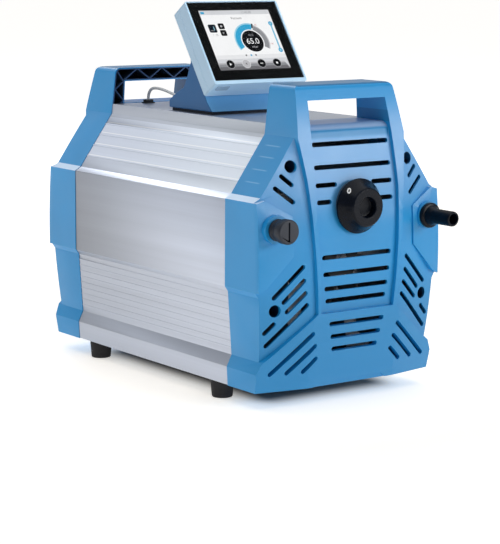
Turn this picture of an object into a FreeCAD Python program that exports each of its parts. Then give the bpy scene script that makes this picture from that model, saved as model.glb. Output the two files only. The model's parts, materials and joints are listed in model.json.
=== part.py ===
import FreeCAD, Part
import math
import os
import re
import Sketcher

# Diaphragm vacuum pump in a case of two moulded end covers and aluminium side panels.
# X is to the right seen from the knob, the knob faces -Y and Z is up. Millimetres throughout.
# Shapes are modelled about the middle of the case with Z = 0 at its underside. Each sub-part's
# Placement then lifts it onto the feet and centres the whole outline on the origin.

Vector = FreeCAD.Vector
Rotation = FreeCAD.Rotation

SIZES = {
    # Outline of the case: half widths and the heights where they hold
    "foot_half": 125.6,
    "flare_half": 127.0,
    "flare_height": 22.0,
    "waist_half": 120.5,
    "waist_height": 35.2,
    "low_half": 125.7,
    "low_height": 108.4,
    "belt_half": 130.0,
    "belt_low": 114.5,
    "belt_high": 213.8,
    "ledge_half": 121.8,
    "ledge_height": 219.0,
    "leg_half": 76.0,
    "leg_height": 283.0,
    "shelf_half": 74.5,
    "shelf_height": 295.5,
    "grip_half": 69.4,
    "grip_height": 339.7,
    # End covers
    "joint_at": 163.0,
    "panel_front": 237.0,
    "barrel_radius": 640.0,
    "barrel_centre": 137.0,
    "column_half": 75.0,
    "wing_front": 234.9,
    "wing_slope": 0.245,
    "rib_proud": 5.0,
    "apron_proud": 4.5,
    "apron_slope": 0.178,
    "edge_recess": 1.5,
    "edge_recess_height": 5.0,
    "edge_recess_low_half": 53.0,
    "edge_recess_high_half": 47.0,
    "port_inner_half": 86.0,
    "port_front": 234.0,
    "port_slope": 0.142,
    "nose_radius": 12.0,
    "grip_wall": 2.4,
    "grip_roll": 7.5,
    "cover_wall": 3.0,
    "tongue_wall": 2.0,
    "tongue_reach": 10.0,
    "tongue_root": 8.0,
    "fit_gap": 0.2,
    "joint_gap": 0.4,
    # Grip opening and the ribs that run down from its legs
    "opening_half": 57.7,
    "opening_top_half": 55.4,
    "grip_beam": 17.0,
    "rib_bottom": 86.0,
    "rib_bottom_inner": 52.0,
    "rib_bottom_outer": 56.0,
    "rib_low_inner": 57.5,
    "rib_low_height": 165.0,
    "rib_mid_outer": 65.5,
    "rib_mid_height": 198.0,
    "rib_high_inner": 60.0,
    "rib_high_inner_height": 224.0,
    "rib_high_outer": 69.0,
    "rib_high_height": 235.0,
    "truss_wall": 1.6,
    "truss_depth": 30.0,
    "truss_bays": 6,
    # Raised zones of the front faces
    "apron_knee_half": 112.0,
    "apron_knee_height": 41.0,
    "port_zone_inner_half": 86.5,
    "port_zone_inner_high": 198.0,
    "port_zone_inner_low": 153.5,
    "port_zone_outer_half": 120.0,
    "port_zone_outer_high": 216.5,
    "port_zone_outer_low": 119.6,
    "slot_width": 5.4,
    # Screw wells and the rods that tie the covers together
    "well_half_high": 83.8,
    "well_height_high": 251.9,
    "well_half_low": 106.4,
    "well_height_low": 93.0,
    "well_bore": 14.0,
    "well_wall": 2.5,
    "well_floor": 8.0,
    "rod_diameter": 11.0,
    "rod_end": 165.0,
    "screw_shank": 8.0,
    "screw_head": 13.0,
    "screw_head_length": 8.0,
    "screw_length": 24.0,
    "screw_gap": 0.1,
    # Side panels, top plate and base plate
    "panel_inset": 0.5,
    "panel_wall": 2.5,
    "lip_half": 98.0,
    "top_plate_half": 63.8,
    "seam_gap": 0.2,
    "seat_inner_half": 56.0,
    "seat_outer_half": 70.0,
    "seat_wall": 2.0,
    "seat_reach": 151.0,
    "base_half": 116.0,
    "base_reach": 152.0,
    "base_wall": 3.0,
    "ridge_width": 1.4,
    "ridge_proud": 0.7,
    "flank_ridge_proud": 0.4,
    # Feet
    "foot_height": 20.0,
    "foot_x": 112.0,
    "foot_y": 133.0,
    "foot_top_radius": 13.5,
    "foot_sole_radius": 12.0,
    "foot_recess_radius": 6.5,
    "foot_recess": 9.0,
    "foot_screw_radius": 3.0,
    "foot_screw_head_radius": 5.0,
    "foot_screw_head": 4.0,
    # Gas ballast knob on the front
    "knob_height": 204.3,
    "knob_radius": 31.2,
    "knob_rim": 3.0,
    "knob_face_radius": 21.5,
    "knob_depth": 18.7,
    "knob_recess_radius": 11.7,
    "knob_recess": 9.0,
    "knob_floor": 2.0,
    "knob_gap": 0.3,
    "valve_flange_radius": 28.0,
    "valve_hole_gap": 0.1,
    "valve_reach": 212.5,
    "spindle_radius": 5.0,
    "spindle_gap": 0.04,
    # Ports on the wings
    "port_x": 109.5,
    "port_height": 185.0,
    "port_seat": 233.0,
    "port_pad_radius": 16.0,
    "port_pad_back": 217.0,
    "port_shank_radius": 10.0,
    "port_shank_gap": 0.2,
    "port_shank_end": 207.0,
    "port_bore": 11.0,
    "nut_width": 29.0,
    "nut_depth": 8.0,
    "nozzle_tip": 276.0,
    "nozzle_radius": 8.8,
    "nozzle_flange_radius": 14.6,
    "nozzle_flange": 5.0,
    "silencer_radius": 11.6,
    "silencer_waist_radius": 10.4,
    "silencer_waist_at": 242.0,
    "silencer_cap_at": 244.5,
    "silencer_cap_radius": 13.8,
    "silencer_tip": 255.5,
    # Controller on the top plate
    "display_y": -51.6,
    "display_z": 335.9,
    "display_tilt": 34.8,
    "display_half": 68.0,
    "display_chin": 5.0,
    "display_head": 1.2,
    "glass_half": 65.2,
    "glass_height": 108.9,
    "glass_wall": 1.8,
    "glass_gap": 0.1,
    "display_front_depth": 16.0,
    "display_depth": 29.5,
    "display_wall": 2.4,
    "lcd_half": 57.0,
    "lcd_height": 92.0,
    "lcd_wall": 4.0,
    "board_wall": 1.6,
    "board_at": 9.0,
    "pad_wall": 3.5,
    "pad_inset": 3.0,
    "pedestal_half": 65.0,
    "pedestal_front": -44.0,
    "pedestal_rear": 48.0,
    "pedestal_rear_height": 9.0,
    "pedestal_wall": 3.0,
    "cable_x": -28.0,
    "cable_radius": 1.9,
    "plug_y": 151.5,
    "plug_height": 3.5,
    "socket_height": 1.0,
    # Drive: motor, shaft, eccentrics and fans, all about one axis along Y
    "axis_height": 140.0,
    "motor_radius": 62.0,
    "motor_half": 75.0,
    "motor_wall": 5.0,
    "stator_half": 45.0,
    "stator_bore": 34.0,
    "winding_reach": 62.0,
    "rotor_radius": 33.0,
    "rotor_half": 43.0,
    "shield_radius": 50.0,
    "shaft_radius": 8.5,
    "shaft_end": 209.0,
    "bearing_radius": 20.0,
    "bearing_width": 12.0,
    "bearing_gap": 0.05,
    "throw": 3.0,
    "eccentric_radius": 15.0,
    "eccentric_half": 14.0,
    "weight_radius": 34.0,
    "weight_wall": 8.0,
    "rod_bearing_wall": 4.0,
    "fan_radius": 74.0,
    "fan_hub_radius": 24.0,
    "fan_depth": 15.0,
    "fan_at": 208.5,
    "fan_blades": 7,
    # Pump units: a crankcase with a head on each side, one at each end of the motor
    "unit_at": 132.0,
    "unit_stagger": 7.0,
    "case_half": 50.0,
    "case_outer": 175.0,
    "case_inner": 89.0,
    "case_top": 194.0,
    "chamber_radius": 38.0,
    "chamber_wall": 10.0,
    "boss_radius": 27.0,
    "bore_radius": 30.0,
    "flange_radius": 40.0,
    "flange_face": 54.0,
    "case_foot_half": 70.0,
    "case_arch_half": 36.0,
    "case_arch_wall": 9.0,
    "buffer_height": 20.0,
    "buffer_radius": 11.0,
    "rod_eye_radius": 24.0,
    "rod_wall": 12.0,
    "rod_arm_half": 9.0,
    "rod_gap": 0.05,
    "rod_reach": 47.0,
    "disc_radius": 24.0,
    "disc_wall": 7.0,
    "diaphragm_wall": 2.0,
    "diaphragm_hole": 29.0,
    "head_radius": 40.0,
    "head_outer": 104.0,
    "head_chamber_radius": 32.0,
    "head_chamber": 10.0,
    "port_offset": 16.0,
    "stub_x": 77.0,
    "stub_top": 190.0,
    "stub_radius": 6.0,
    "stub_bore": 4.0,
    "valve_pocket_radius": 9.0,
    "valve_pocket": 5.0,
    "valve_radius": 8.0,
    "valve_wall": 1.5,
    "head_screw_circle": 35.0,
    "head_screw_radius": 2.5,
    "head_screw_head_radius": 4.5,
    "head_screw_head": 5.0,
    "hose_radius": 7.0,
    "hose_rise": 207.0,
    # Drive electronics and mains module
    "box_half": 58.0,
    "box_reach": 64.0,
    "box_height": 50.0,
    "box_wall": 3.5,
    "fin_height": 8.0,
    "fin_wall": 3.0,
    "mains_height": 180.0,
    "mains_half": 34.0,
    "mains_half_height": 16.0,
    "mains_flange": 3.0,
    "mains_seat": 236.5,
    "mains_body_half": 30.0,
    "mains_body_half_height": 13.0,
    "mains_body_end": 213.0,
    "inlet_x": 12.0,
    "inlet_half": 12.5,
    "inlet_half_height": 8.6,
    "inlet_depth": 15.0,
    "rocker_x": -18.0,
    "rocker_half": 6.5,
    "rocker_half_height": 10.4,
    "rocker_gap": 0.4,
    "rocker_bed": 12.0,
    "rocker_pivot": 5.0,
    "pivot_radius": 1.5,
    "pivot_reach": 2.0,
    # Where the outline is centred along Y
    "centre_shift": 17.0,
}

doc = FreeCAD.newDocument("VacuumPump")
dim = doc.addObject("Spreadsheet::Sheet", "Dim")
for row, (alias, size) in enumerate(SIZES.items(), start=1):
    dim.set(f"A{row}", alias)
    dim.set(f"B{row}", str(size))
    dim.setAlias(f"B{row}", alias)
doc.recompute()

WORD = re.compile(r"[a-z]+(?:_[a-z]+)*")
NODES = []


def named(text):
    """Puts the sheet's name before each size in an expression."""
    return WORD.sub(lambda word: "Dim." + word[0] if word[0] in SIZES else word[0], str(text))


def value(text):
    """The number that an expression on the sheet's sizes gives."""
    return float(dim.evalExpression(named(text)))


def bind(thing, path, text):
    thing.setExpression(path, named(text))


def place(thing, label):
    """Names a finished sub-part and seats it in the part's own frame."""
    thing.Label = label
    bind(thing, "Placement.Base.y", "centre_shift")
    bind(thing, "Placement.Base.z", "foot_height")
    NODES.append(thing)
    return thing


# Sketches on the three main planes. On XZ a sketch's own normal points to -Y.
TURNS = {
    "XY": Rotation(),
    "XZ": Rotation(Vector(1, 0, 0), 90),
    "YZ": Rotation(Vector(1, 1, 1), 120),
}


def new_sketch(name, plane, x=0, y=0, z=0, owner=None):
    """A sketch whose own origin lies at x, y, z, in a body or free in the document."""
    if owner is None:
        sketch = doc.addObject("Sketcher::SketchObject", name)
        sketch.Placement = FreeCAD.Placement(Vector(), TURNS[plane])
        for axis, place_at in zip("xyz", (x, y, z)):
            bind(sketch, f"Placement.Base.{axis}", place_at)
        return sketch
    sketch = owner.newObject("Sketcher::SketchObject", name)
    features = owner.Origin.OriginFeatures
    flat = [feature for feature in features if feature.Role == f"{plane}_Plane"][0]
    sketch.AttachmentSupport = [(flat, "")]
    sketch.MapMode = "FlatFace"
    local = {"XY": (x, y, z), "XZ": (x, z, f"-({y})"), "YZ": (y, z, x)}[plane]
    for axis, place_at in zip("xyz", local):
        bind(sketch, f"AttachmentOffset.Base.{axis}", place_at)
    return sketch


def hold(sketch, pairs):
    """Adds constraints in one go. Each comes with the expression for its value, or with None."""
    first = sketch.ConstraintCount
    sketch.addConstraint([constraint for constraint, text in pairs])
    for index, (constraint, text) in enumerate(pairs, start=first):
        if text is not None:
            bind(sketch, f"Constraints[{index}]", text)


def at_point(line, end, x, y):
    """Constraints that hold one point of a line or arc at x, y."""
    return [(Sketcher.Constraint(kind, line, end, value(text)), text)
            for kind, text in (("DistanceX", x), ("DistanceY", y))]


def add_outline(sketch, corners):
    """A closed run of straight lines through corners given as expressions."""
    first = sketch.GeometryCount
    spots = [Vector(value(x), value(y), 0) for x, y in corners]
    count = len(spots)
    sketch.addGeometry([Part.LineSegment(spots[index], spots[(index + 1) % count])
                        for index in range(count)], False)
    pairs = []
    for index in range(count):
        following = first + (index + 1) % count
        pairs.append((Sketcher.Constraint("Coincident", first + index, 2, following, 1), None))
    for index, (x, y) in enumerate(corners):
        pairs += at_point(first + index, 1, x, y)
    hold(sketch, pairs)


def add_circle(sketch, x, y, radius):
    middle = Vector(value(x), value(y), 0)
    line = sketch.addGeometry(Part.Circle(middle, Vector(0, 0, 1), value(radius)), False)
    size = (Sketcher.Constraint("Radius", line, value(radius)), radius)
    hold(sketch, at_point(line, 3, x, y) + [size])


def add_slot(sketch, start, end, width="slot_width"):
    """A straight slot with round ends, centred on the line from start to end."""
    a = Vector(value(start[0]), value(start[1]), 0)
    b = Vector(value(end[0]), value(end[1]), 0)
    radius = value(width) / 2
    along = (b - a).normalize()
    side = Vector(-along.y, along.x, 0) * radius
    lead = math.atan2(along.y, along.x)
    up = Vector(0, 0, 1)
    quarter = math.pi / 2
    far = Part.ArcOfCircle(Part.Circle(b, up, radius), lead - quarter, lead + quarter)
    near = Part.ArcOfCircle(Part.Circle(a, up, radius), lead + quarter, lead + 3 * quarter)
    first = sketch.GeometryCount
    sketch.addGeometry([far, Part.LineSegment(b + side, a + side), near,
                        Part.LineSegment(a - side, b - side)], False)
    pairs = []
    for line, tip, other, root in ((0, 2, 1, 1), (1, 2, 2, 1), (2, 2, 3, 1), (3, 2, 0, 1)):
        pairs.append((Sketcher.Constraint("Tangent", first + line, tip, first + other, root), None))
    pairs += at_point(first, 3, *end)
    pairs += at_point(first + 2, 3, *start)
    pairs.append((Sketcher.Constraint("Radius", first, radius), f"({width}) / 2"))
    hold(sketch, pairs)


# Free solids for the booleans that shape the case
def outline_sketch(name, plane, corners, x=0, y=0, z=0):
    sketch = new_sketch(name, plane, x, y, z)
    add_outline(sketch, corners)
    return sketch


def prism(name, sketch, direction, forward, back=0):
    """Extrudes a closed sketch along direction, to forward and back behind it."""
    solid = doc.addObject("Part::Extrusion", name)
    solid.Base = sketch
    solid.DirMode = "Custom"
    solid.Dir = direction
    solid.Solid = True
    bind(solid, "LengthFwd", forward)
    bind(solid, "LengthRev", back)
    return solid


def inward(name, sketch, distance):
    """The sketch's outline moved inward by distance, with sharp corners."""
    ring = doc.addObject("Part::Offset2D", name)
    ring.Source = sketch
    ring.Join = "Intersection"
    bind(ring, "Value", f"-({distance})")
    return ring


def combine(kind, name, shapes):
    """Part::MultiFuse or Part::MultiCommon of several solids."""
    result = doc.addObject(kind, name)
    result.Shapes = shapes
    result.Refine = True
    return result


def cut(name, base, tool):
    result = doc.addObject("Part::Cut", name)
    result.Base = base
    result.Tool = tool
    result.Refine = True
    return result


def block(name, x, y, z, length, width, height):
    solid = doc.addObject("Part::Box", name)
    for path, text in (("Placement.Base.x", x), ("Placement.Base.y", y), ("Placement.Base.z", z),
                       ("Length", length), ("Width", width), ("Height", height)):
        bind(solid, path, text)
    return solid


def drum(name, direction, radius, length, x=0, y=0, z=0):
    """A cylinder that starts at x, y, z and points along X, Y or Z."""
    solid = doc.addObject("Part::Cylinder", name)
    turns = {"X": Rotation(Vector(0, 1, 0), 90), "Y": Rotation(Vector(1, 0, 0), -90), "Z": Rotation()}
    solid.Placement = FreeCAD.Placement(Vector(), turns[direction])
    for path, text in (("Radius", radius), ("Height", length), ("Placement.Base.x", x),
                       ("Placement.Base.y", y), ("Placement.Base.z", z)):
        bind(solid, path, text)
    return solid


def mirrored(name, source, normal):
    copy = doc.addObject("Part::Mirroring", name)
    copy.Source = source
    copy.Normal = normal
    return copy


def group(name, shapes):
    """Several separate solids kept together as one sub-part."""
    result = doc.addObject("Part::Compound", name)
    result.Links = shapes
    return result


def four_ways(name, source):
    """The source and its mirror images across X, across Y and across both."""
    right = mirrored(name + "_other_side", source, Vector(1, 0, 0))
    back = mirrored(name + "_back", source, Vector(0, 1, 0))
    far = mirrored(name + "_far", right, Vector(0, 1, 0))
    return group(name, [source, right, back, far])


# PartDesign bodies
def new_body(name):
    return doc.addObject("PartDesign::Body", name.title().replace("_", ""))


def pad(body, sketch, length, middle=False):
    feature = body.newObject("PartDesign::Pad", sketch.Name + "_pad")
    feature.Profile = sketch
    feature.Midplane = middle
    bind(feature, "Length", length)
    sketch.Visibility = False
    return feature


def pocket(body, sketch, length, middle=False):
    """Cuts against the sketch's normal, or to both sides of it."""
    feature = body.newObject("PartDesign::Pocket", sketch.Name + "_pocket")
    feature.Profile = sketch
    feature.Midplane = middle
    bind(feature, "Length", length)
    return feature


def revolve(body, sketch, axis="H_Axis", angle=360):
    feature = body.newObject("PartDesign::Revolution", sketch.Name + "_turned")
    feature.Profile = sketch
    feature.ReferenceAxis = (sketch, [axis])
    feature.Angle = angle
    return feature


def body_outline(body, name, plane, corners, x=0, y=0, z=0):
    sketch = new_sketch(name, plane, x, y, z, body)
    add_outline(sketch, corners)
    return sketch


def body_circles(body, name, plane, circles, x=0, y=0, z=0):
    sketch = new_sketch(name, plane, x, y, z, body)
    for across, up, radius in circles:
        add_circle(sketch, across, up, radius)
    return sketch


def rectangle(left, right, low, high):
    return [(left, low), (right, low), (right, high), (left, high)]


def turned(name, profile, x=0, z=0, label=None):
    """A body turned about an axis along Y: profile points are (y, radius)."""
    body = new_body(name)
    sketch = body_outline(body, name + "_profile", "YZ", profile, x=x, z=z)
    revolve(body, sketch)
    return place(body, label or name)


def soften(body, radius, test, kind="PartDesign::Fillet"):
    """Rounds or chamfers the edges of the body's last feature that pass the test."""
    doc.recompute()
    last = body.Tip
    picked = [f"Edge{index}" for index, edge in enumerate(last.Shape.Edges, start=1) if test(edge)]
    feature = body.newObject(kind, body.Name + "_edges")
    feature.Base = (last, picked)
    bind(feature, "Radius" if kind.endswith("Fillet") else "Size", radius)
    return feature


def runs_along(edge, axis):
    """True for a straight edge that runs along the axis."""
    if not isinstance(edge.Curve, Part.Line):
        return False
    return abs(abs(edge.tangentAt(edge.FirstParameter).dot(axis)) - 1) < 1e-6


X_AXIS = Vector(1, 0, 0)
Y_AXIS = Vector(0, 1, 0)
Z_AXIS = Vector(0, 0, 1)
BOTH_SIDES = ("", "-")


def symmetric(right_side):
    """Closes an outline whose right half is given from the bottom to the top."""
    left_side = [(f"-({x})", y) for x, y in reversed(right_side)]
    return [(x, y) for x, y in right_side] + left_side


# The case outline across the machine, shared by covers, panels and plates
CASE_SIDE = [
    ("foot_half", 0),
    ("flare_half", "flare_height"),
    ("waist_half", "waist_height"),
    ("low_half", "low_height"),
    ("belt_half", "belt_low"),
    ("belt_half", "belt_high"),
    ("ledge_half", "ledge_height"),
    ("leg_half", "leg_height"),
    ("shelf_half", "shelf_height"),
]
FRONT_LIMIT = "panel_front + 30"
case_outline = outline_sketch("case_outline", "XZ", symmetric(CASE_SIDE))


def barrel(name, right_half, back="joint_at - 20"):
    """Turns a plan outline about an axis across the machine, so that fronts bulge gently."""
    axis_at = "(barrel_radius - panel_front)"
    corners = [(x, f"-({y}) - {axis_at}") for x, y in right_half]
    corners = corners + [(f"-({x})", y) for x, y in reversed(corners)]
    far_x = right_half[-1][0]
    corners[len(right_half):len(right_half)] = [
        (far_x, f"-({back}) - {axis_at}"),
        (f"-({far_x})", f"-({back}) - {axis_at}"),
    ]
    sketch = outline_sketch(name + "_plan", "XY", corners, y=axis_at, z="barrel_centre")
    solid = doc.addObject("Part::Revolution", name)
    solid.Source = sketch
    solid.Axis = X_AXIS
    solid.Angle = 70
    solid.Symmetric = True
    solid.Solid = True
    bind(solid, "Base.y", axis_at)
    bind(solid, "Base.z", "barrel_centre")
    return solid


def wing_plan(depth, slope="wing_slope"):
    """Plan of panel and wings, with the whole front set back by depth."""
    return [
        ("column_half - 13", f"panel_front - {depth}"),
        ("column_half", f"wing_front - {depth}"),
        ("column_half + 70", f"wing_front - 70 * {slope} - {depth}"),
    ]


def nose_cut(name, inset, roll_radius="nose_radius", top="shelf_height", proud="0"):
    """Rounds the edge where the bulging front meets the level face at the height top."""
    radius = f"({roll_radius} - {inset})"
    centre_z = f"({top} - {roll_radius})"
    reach = f"(barrel_radius + {proud} - {roll_radius})"
    across = f"sqrt({reach} ^ 2 - ({centre_z} - barrel_centre) ^ 2)"
    centre_y = f"(barrel_radius - panel_front - {across})"
    touch_z = f"({centre_z} + {radius} * ({centre_z} - barrel_centre) / {reach})"
    corner = block(name + "_corner", "-belt_half - 5", "-panel_front - 40", touch_z,
                   "2 * belt_half + 10", f"{centre_y} + panel_front + 40", 60)
    roll = drum(name + "_roll", "X", radius, "2 * belt_half + 20", "-belt_half - 10", centre_y, centre_z)
    return cut(name, corner, roll)


def front_shape(name, outline, plan, inset, forward=FRONT_LIMIT, back="-joint_at"):
    """Outline across the machine, bounded in front by the barrel and the rounded nose."""
    across = prism(name + "_across", outline, Vector(0, -1, 0), forward, back)
    bulge = barrel(name + "_bulge", plan)
    both = combine("Part::MultiCommon", name + "_bulged", [across, bulge])
    return cut(name, both, nose_cut(name + "_nose", inset))


# End cover: skin with raised grip, ribs, apron and port zones
skin = front_shape("skin", case_outline, wing_plan("0"), "0")

GRIP_SIDE = [
    ("rib_bottom_outer", "rib_bottom"),
    ("rib_mid_outer", "rib_mid_height"),
    ("rib_high_outer", "rib_high_height"),
    ("leg_half", "leg_height"),
    ("grip_half", "grip_height"),
]
GRIP_INNER_SIDE = [
    ("rib_bottom_inner", "rib_bottom"),
    ("rib_low_inner", "rib_low_height"),
    ("rib_high_inner", "rib_high_inner_height"),
    ("opening_half", "leg_height"),
    ("opening_top_half", "grip_height - grip_beam"),
]
arch_corners = GRIP_SIDE + [(f"-({x})", y) for x, y in reversed(GRIP_SIDE)]
arch_corners += [(f"-({x})", y) for x, y in GRIP_INNER_SIDE] + list(reversed(GRIP_INNER_SIDE))
arch_outline = outline_sketch("arch_outline", "XZ", arch_corners)
arch_across = prism("arch_across", arch_outline, Vector(0, -1, 0), FRONT_LIMIT, "-joint_at")
arch_bulge = barrel("arch_bulge", [("belt_half", "panel_front + rib_proud")])
arch_blank = combine("Part::MultiCommon", "arch_blank", [arch_across, arch_bulge])
GRIP_LEAN = "((leg_half - grip_half) / (grip_height - leg_height))"


def grip_rolls(name, inset):
    """What is taken off the grip: its rounded front edge and its two rounded top corners."""
    rolls = [nose_cut(name + "_front", inset, "grip_roll", "grip_height", "rib_proud")]
    radius = f"(grip_roll - {inset})"
    lean = f"atan({GRIP_LEAN})"
    centre_x = f"(grip_half - grip_roll * (1 - sin({lean})) / cos({lean}))"
    centre_z = "(grip_height - grip_roll)"
    touch_z = f"({centre_z} + {radius} * sin({lean}))"
    for sign in BOTH_SIDES:
        start = f"-({centre_x}) - 30" if sign else centre_x
        corner = block(f"{name}_corner{sign and '_left'}", start, "-panel_front - 40", touch_z,
                       "30", "panel_front - 60", 30)
        roll = drum(f"{name}_roll{sign and '_left'}", "Y", radius, "panel_front",
                    f"{sign}({centre_x})", "-panel_front - 50", centre_z)
        rolls.append(cut(f"{name}_edge{sign and '_left'}", corner, roll))
    return combine("Part::MultiFuse", name, rolls)


arch = cut("arch", arch_blank, grip_rolls("arch_rolls", "0"))

APRON_SIDE = [
    ("foot_half", 0),
    ("flare_half", "flare_height"),
    ("waist_half", "waist_height"),
    ("apron_knee_half", "apron_knee_height"),
    ("rib_bottom_outer", "rib_bottom"),
]
apron_outline = outline_sketch("apron_outline", "XZ", symmetric(APRON_SIDE))
apron_across = prism("apron_across", apron_outline, Vector(0, -1, 0), FRONT_LIMIT, "-joint_at")
apron_bulge = barrel("apron_bulge", wing_plan("(-apron_proud)", "apron_slope"))
apron = combine("Part::MultiCommon", "apron", [apron_across, apron_bulge])

PORT_ZONE = [
    ("belt_half", "belt_low"),
    ("belt_half", "belt_high"),
    ("port_zone_outer_half", "port_zone_outer_high"),
    ("port_zone_inner_half", "port_zone_inner_high"),
    ("port_zone_inner_half", "port_zone_inner_low"),
    ("port_zone_outer_half", "port_zone_outer_low"),
]
PORT_PLAN = [
    ("port_inner_half - 8", "port_front + 8 * port_slope"),
    ("belt_half + 5", "port_front - (belt_half + 5 - port_inner_half) * port_slope"),
]
port_bulge = barrel("port_bulge", PORT_PLAN)
port_zones = []
for side, sign in (("right", ""), ("left", "-")):
    zone = outline_sketch(f"{side}_zone_outline", "XZ", [(f"{sign}({x})", y) for x, y in PORT_ZONE])
    across = prism(f"{side}_zone_across", zone, Vector(0, -1, 0), FRONT_LIMIT, "-joint_at")
    port_zones.append(combine("Part::MultiCommon", f"{side}_zone", [across, port_bulge]))

cover_solid = combine("Part::MultiFuse", "cover_solid", [skin, arch, apron] + port_zones)

# Hollow of the cover and of its grip
hollow_outline = inward("hollow_outline", case_outline, "cover_wall")
hollow = front_shape("hollow", hollow_outline, wing_plan("cover_wall"), "cover_wall",
                     back="-joint_at + 5")

GRIP_HOLLOW = [
    ("leg_half - grip_wall", "leg_height - cover_wall"),
    ("grip_half - grip_wall + 0.3", "grip_height - grip_wall"),
    ("-grip_half + grip_wall - 0.3", "grip_height - grip_wall"),
    ("-leg_half + grip_wall", "leg_height - cover_wall"),
    ("-opening_half - grip_wall", "leg_height - cover_wall"),
    ("-opening_top_half - grip_wall", "grip_height - grip_beam + grip_wall"),
    ("opening_top_half + grip_wall", "grip_height - grip_beam + grip_wall"),
    ("opening_half + grip_wall", "leg_height - cover_wall"),
]
grip_hollow_outline = outline_sketch("grip_hollow_outline", "XZ", GRIP_HOLLOW)
grip_hollow_across = prism("grip_hollow_across", grip_hollow_outline, Vector(0, -1, 0),
                           FRONT_LIMIT, "-joint_at + 5")
grip_hollow_bulge = barrel("grip_hollow_bulge", [("belt_half", "panel_front + rib_proud - grip_wall")])
grip_hollow_blank = combine("Part::MultiCommon", "grip_hollow_blank",
                            [grip_hollow_across, grip_hollow_bulge])
grip_hollow = cut("grip_hollow", grip_hollow_blank, grip_rolls("grip_hollow_rolls", "grip_wall"))

hollows = combine("Part::MultiFuse", "hollows", [hollow, grip_hollow])
cover_skin = cut("cover_skin", cover_solid, hollows)


# Zigzag truss that stiffens the grip's open back
def strut(name, start, end):
    """A thin web between two points of the grip's hollow, as deep as the truss."""
    run = f"({end[0]} - ({start[0]}))"
    rise = f"({end[1]} - ({start[1]}))"
    web = block(name, start[0], "-joint_at - truss_depth", start[1],
                f"sqrt({run} ^ 2 + {rise} ^ 2)", "truss_depth", "truss_wall")
    web.Placement.Rotation = Rotation(Vector(0, -1, 0), 30)
    bind(web, "Placement.Rotation.Angle", f"atan2({rise}; {run})")
    return web


TRUSS_LOW = "grip_height - grip_beam + grip_wall - 1"
TRUSS_HIGH = "grip_height - grip_wall"
bay = "(2 * opening_top_half / truss_bays)"
webs = []
for index in range(int(SIZES["truss_bays"])):
    left = f"-opening_top_half + {index} * {bay}"
    right = f"-opening_top_half + {index + 1} * {bay}"
    heights = (TRUSS_LOW, TRUSS_HIGH) if index % 2 == 0 else (TRUSS_HIGH, TRUSS_LOW)
    webs.append(strut(f"beam_web_{index}", (left, heights[0]), (right, heights[1])))
LEG_WEBS = (
    (("opening_top_half + grip_wall", TRUSS_LOW), ("grip_half - grip_wall", TRUSS_HIGH)),
    (("opening_top_half + grip_wall - 1", TRUSS_LOW), ("grip_half + 2", "grip_height - 27")),
    (("grip_half + 2", "grip_height - 27"), ("opening_half + grip_wall - 1", "grip_height - 41")),
    (("opening_half + grip_wall - 1", "grip_height - 41"), ("leg_half - 1", "leg_height + 1")),
)
for index, (start, end) in enumerate(LEG_WEBS):
    for sign in BOTH_SIDES:
        ends = [(f"{sign}({x})", z) for x, z in (start, end)]
        webs.append(strut(f"leg_web_{index}{'_left' if sign else ''}", *ends))
all_webs = combine("Part::MultiFuse", "all_webs", webs)
truss = combine("Part::MultiCommon", "truss", [all_webs, grip_hollow])

# Tongue that slides into the side panels, on a root inside the cover
PANEL_DEPTH = "panel_inset + panel_wall + fit_gap"


def ring(name, outer_inset, inner_inset, front, back):
    """A band between two inward copies of the case outline, from Y = -front to Y = -back."""
    outside = prism(name + "_outside", inward(name + "_outer", case_outline, outer_inset),
                    Vector(0, -1, 0), front, f"-({back})")
    inside = prism(name + "_inside", inward(name + "_inner", case_outline, inner_inset),
                   Vector(0, -1, 0), f"{front} + 1", f"1 - ({back})")
    return cut(name, outside, inside)


tongue = ring("tongue", PANEL_DEPTH, f"{PANEL_DEPTH} + tongue_wall", "joint_at", "joint_at - tongue_reach")
tongue_root = ring("tongue_root", "cover_wall - 0.2", f"{PANEL_DEPTH} + tongue_wall",
                   "joint_at + tongue_root", "joint_at")

# Screw wells: tubes from the front face back to a floor that the tie rods meet
WELLS = (("high", "well_half_high", "well_height_high"), ("low", "well_half_low", "well_height_low"))


def each_well(name, radius, front, back):
    """Four cylinders along Y at the wells, from Y = -front to Y = -back."""
    drums = []
    for level, across, height in WELLS:
        for sign in BOTH_SIDES:
            side = "left" if sign else "right"
            drums.append(drum(f"{name}_{level}_{side}", "Y", radius, f"{front} - ({back})",
                              f"{sign}{across}", f"-({front})", height))
    return combine("Part::MultiFuse", name, drums)


well_tubes = each_well("well_tubes", "well_bore / 2 + well_wall", FRONT_LIMIT, "rod_end")
well_room = front_shape("well_room", inward("well_room_outline", case_outline, "1"),
                        wing_plan("1"), "1", back="-rod_end")
well_columns = combine("Part::MultiCommon", "well_columns", [well_tubes, well_room])
well_bores = each_well("well_bores", "well_bore / 2", FRONT_LIMIT, "rod_end + well_floor")
well_holes = each_well("well_holes", "screw_shank / 2 + screw_gap", FRONT_LIMIT, "rod_end - 1")

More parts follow.
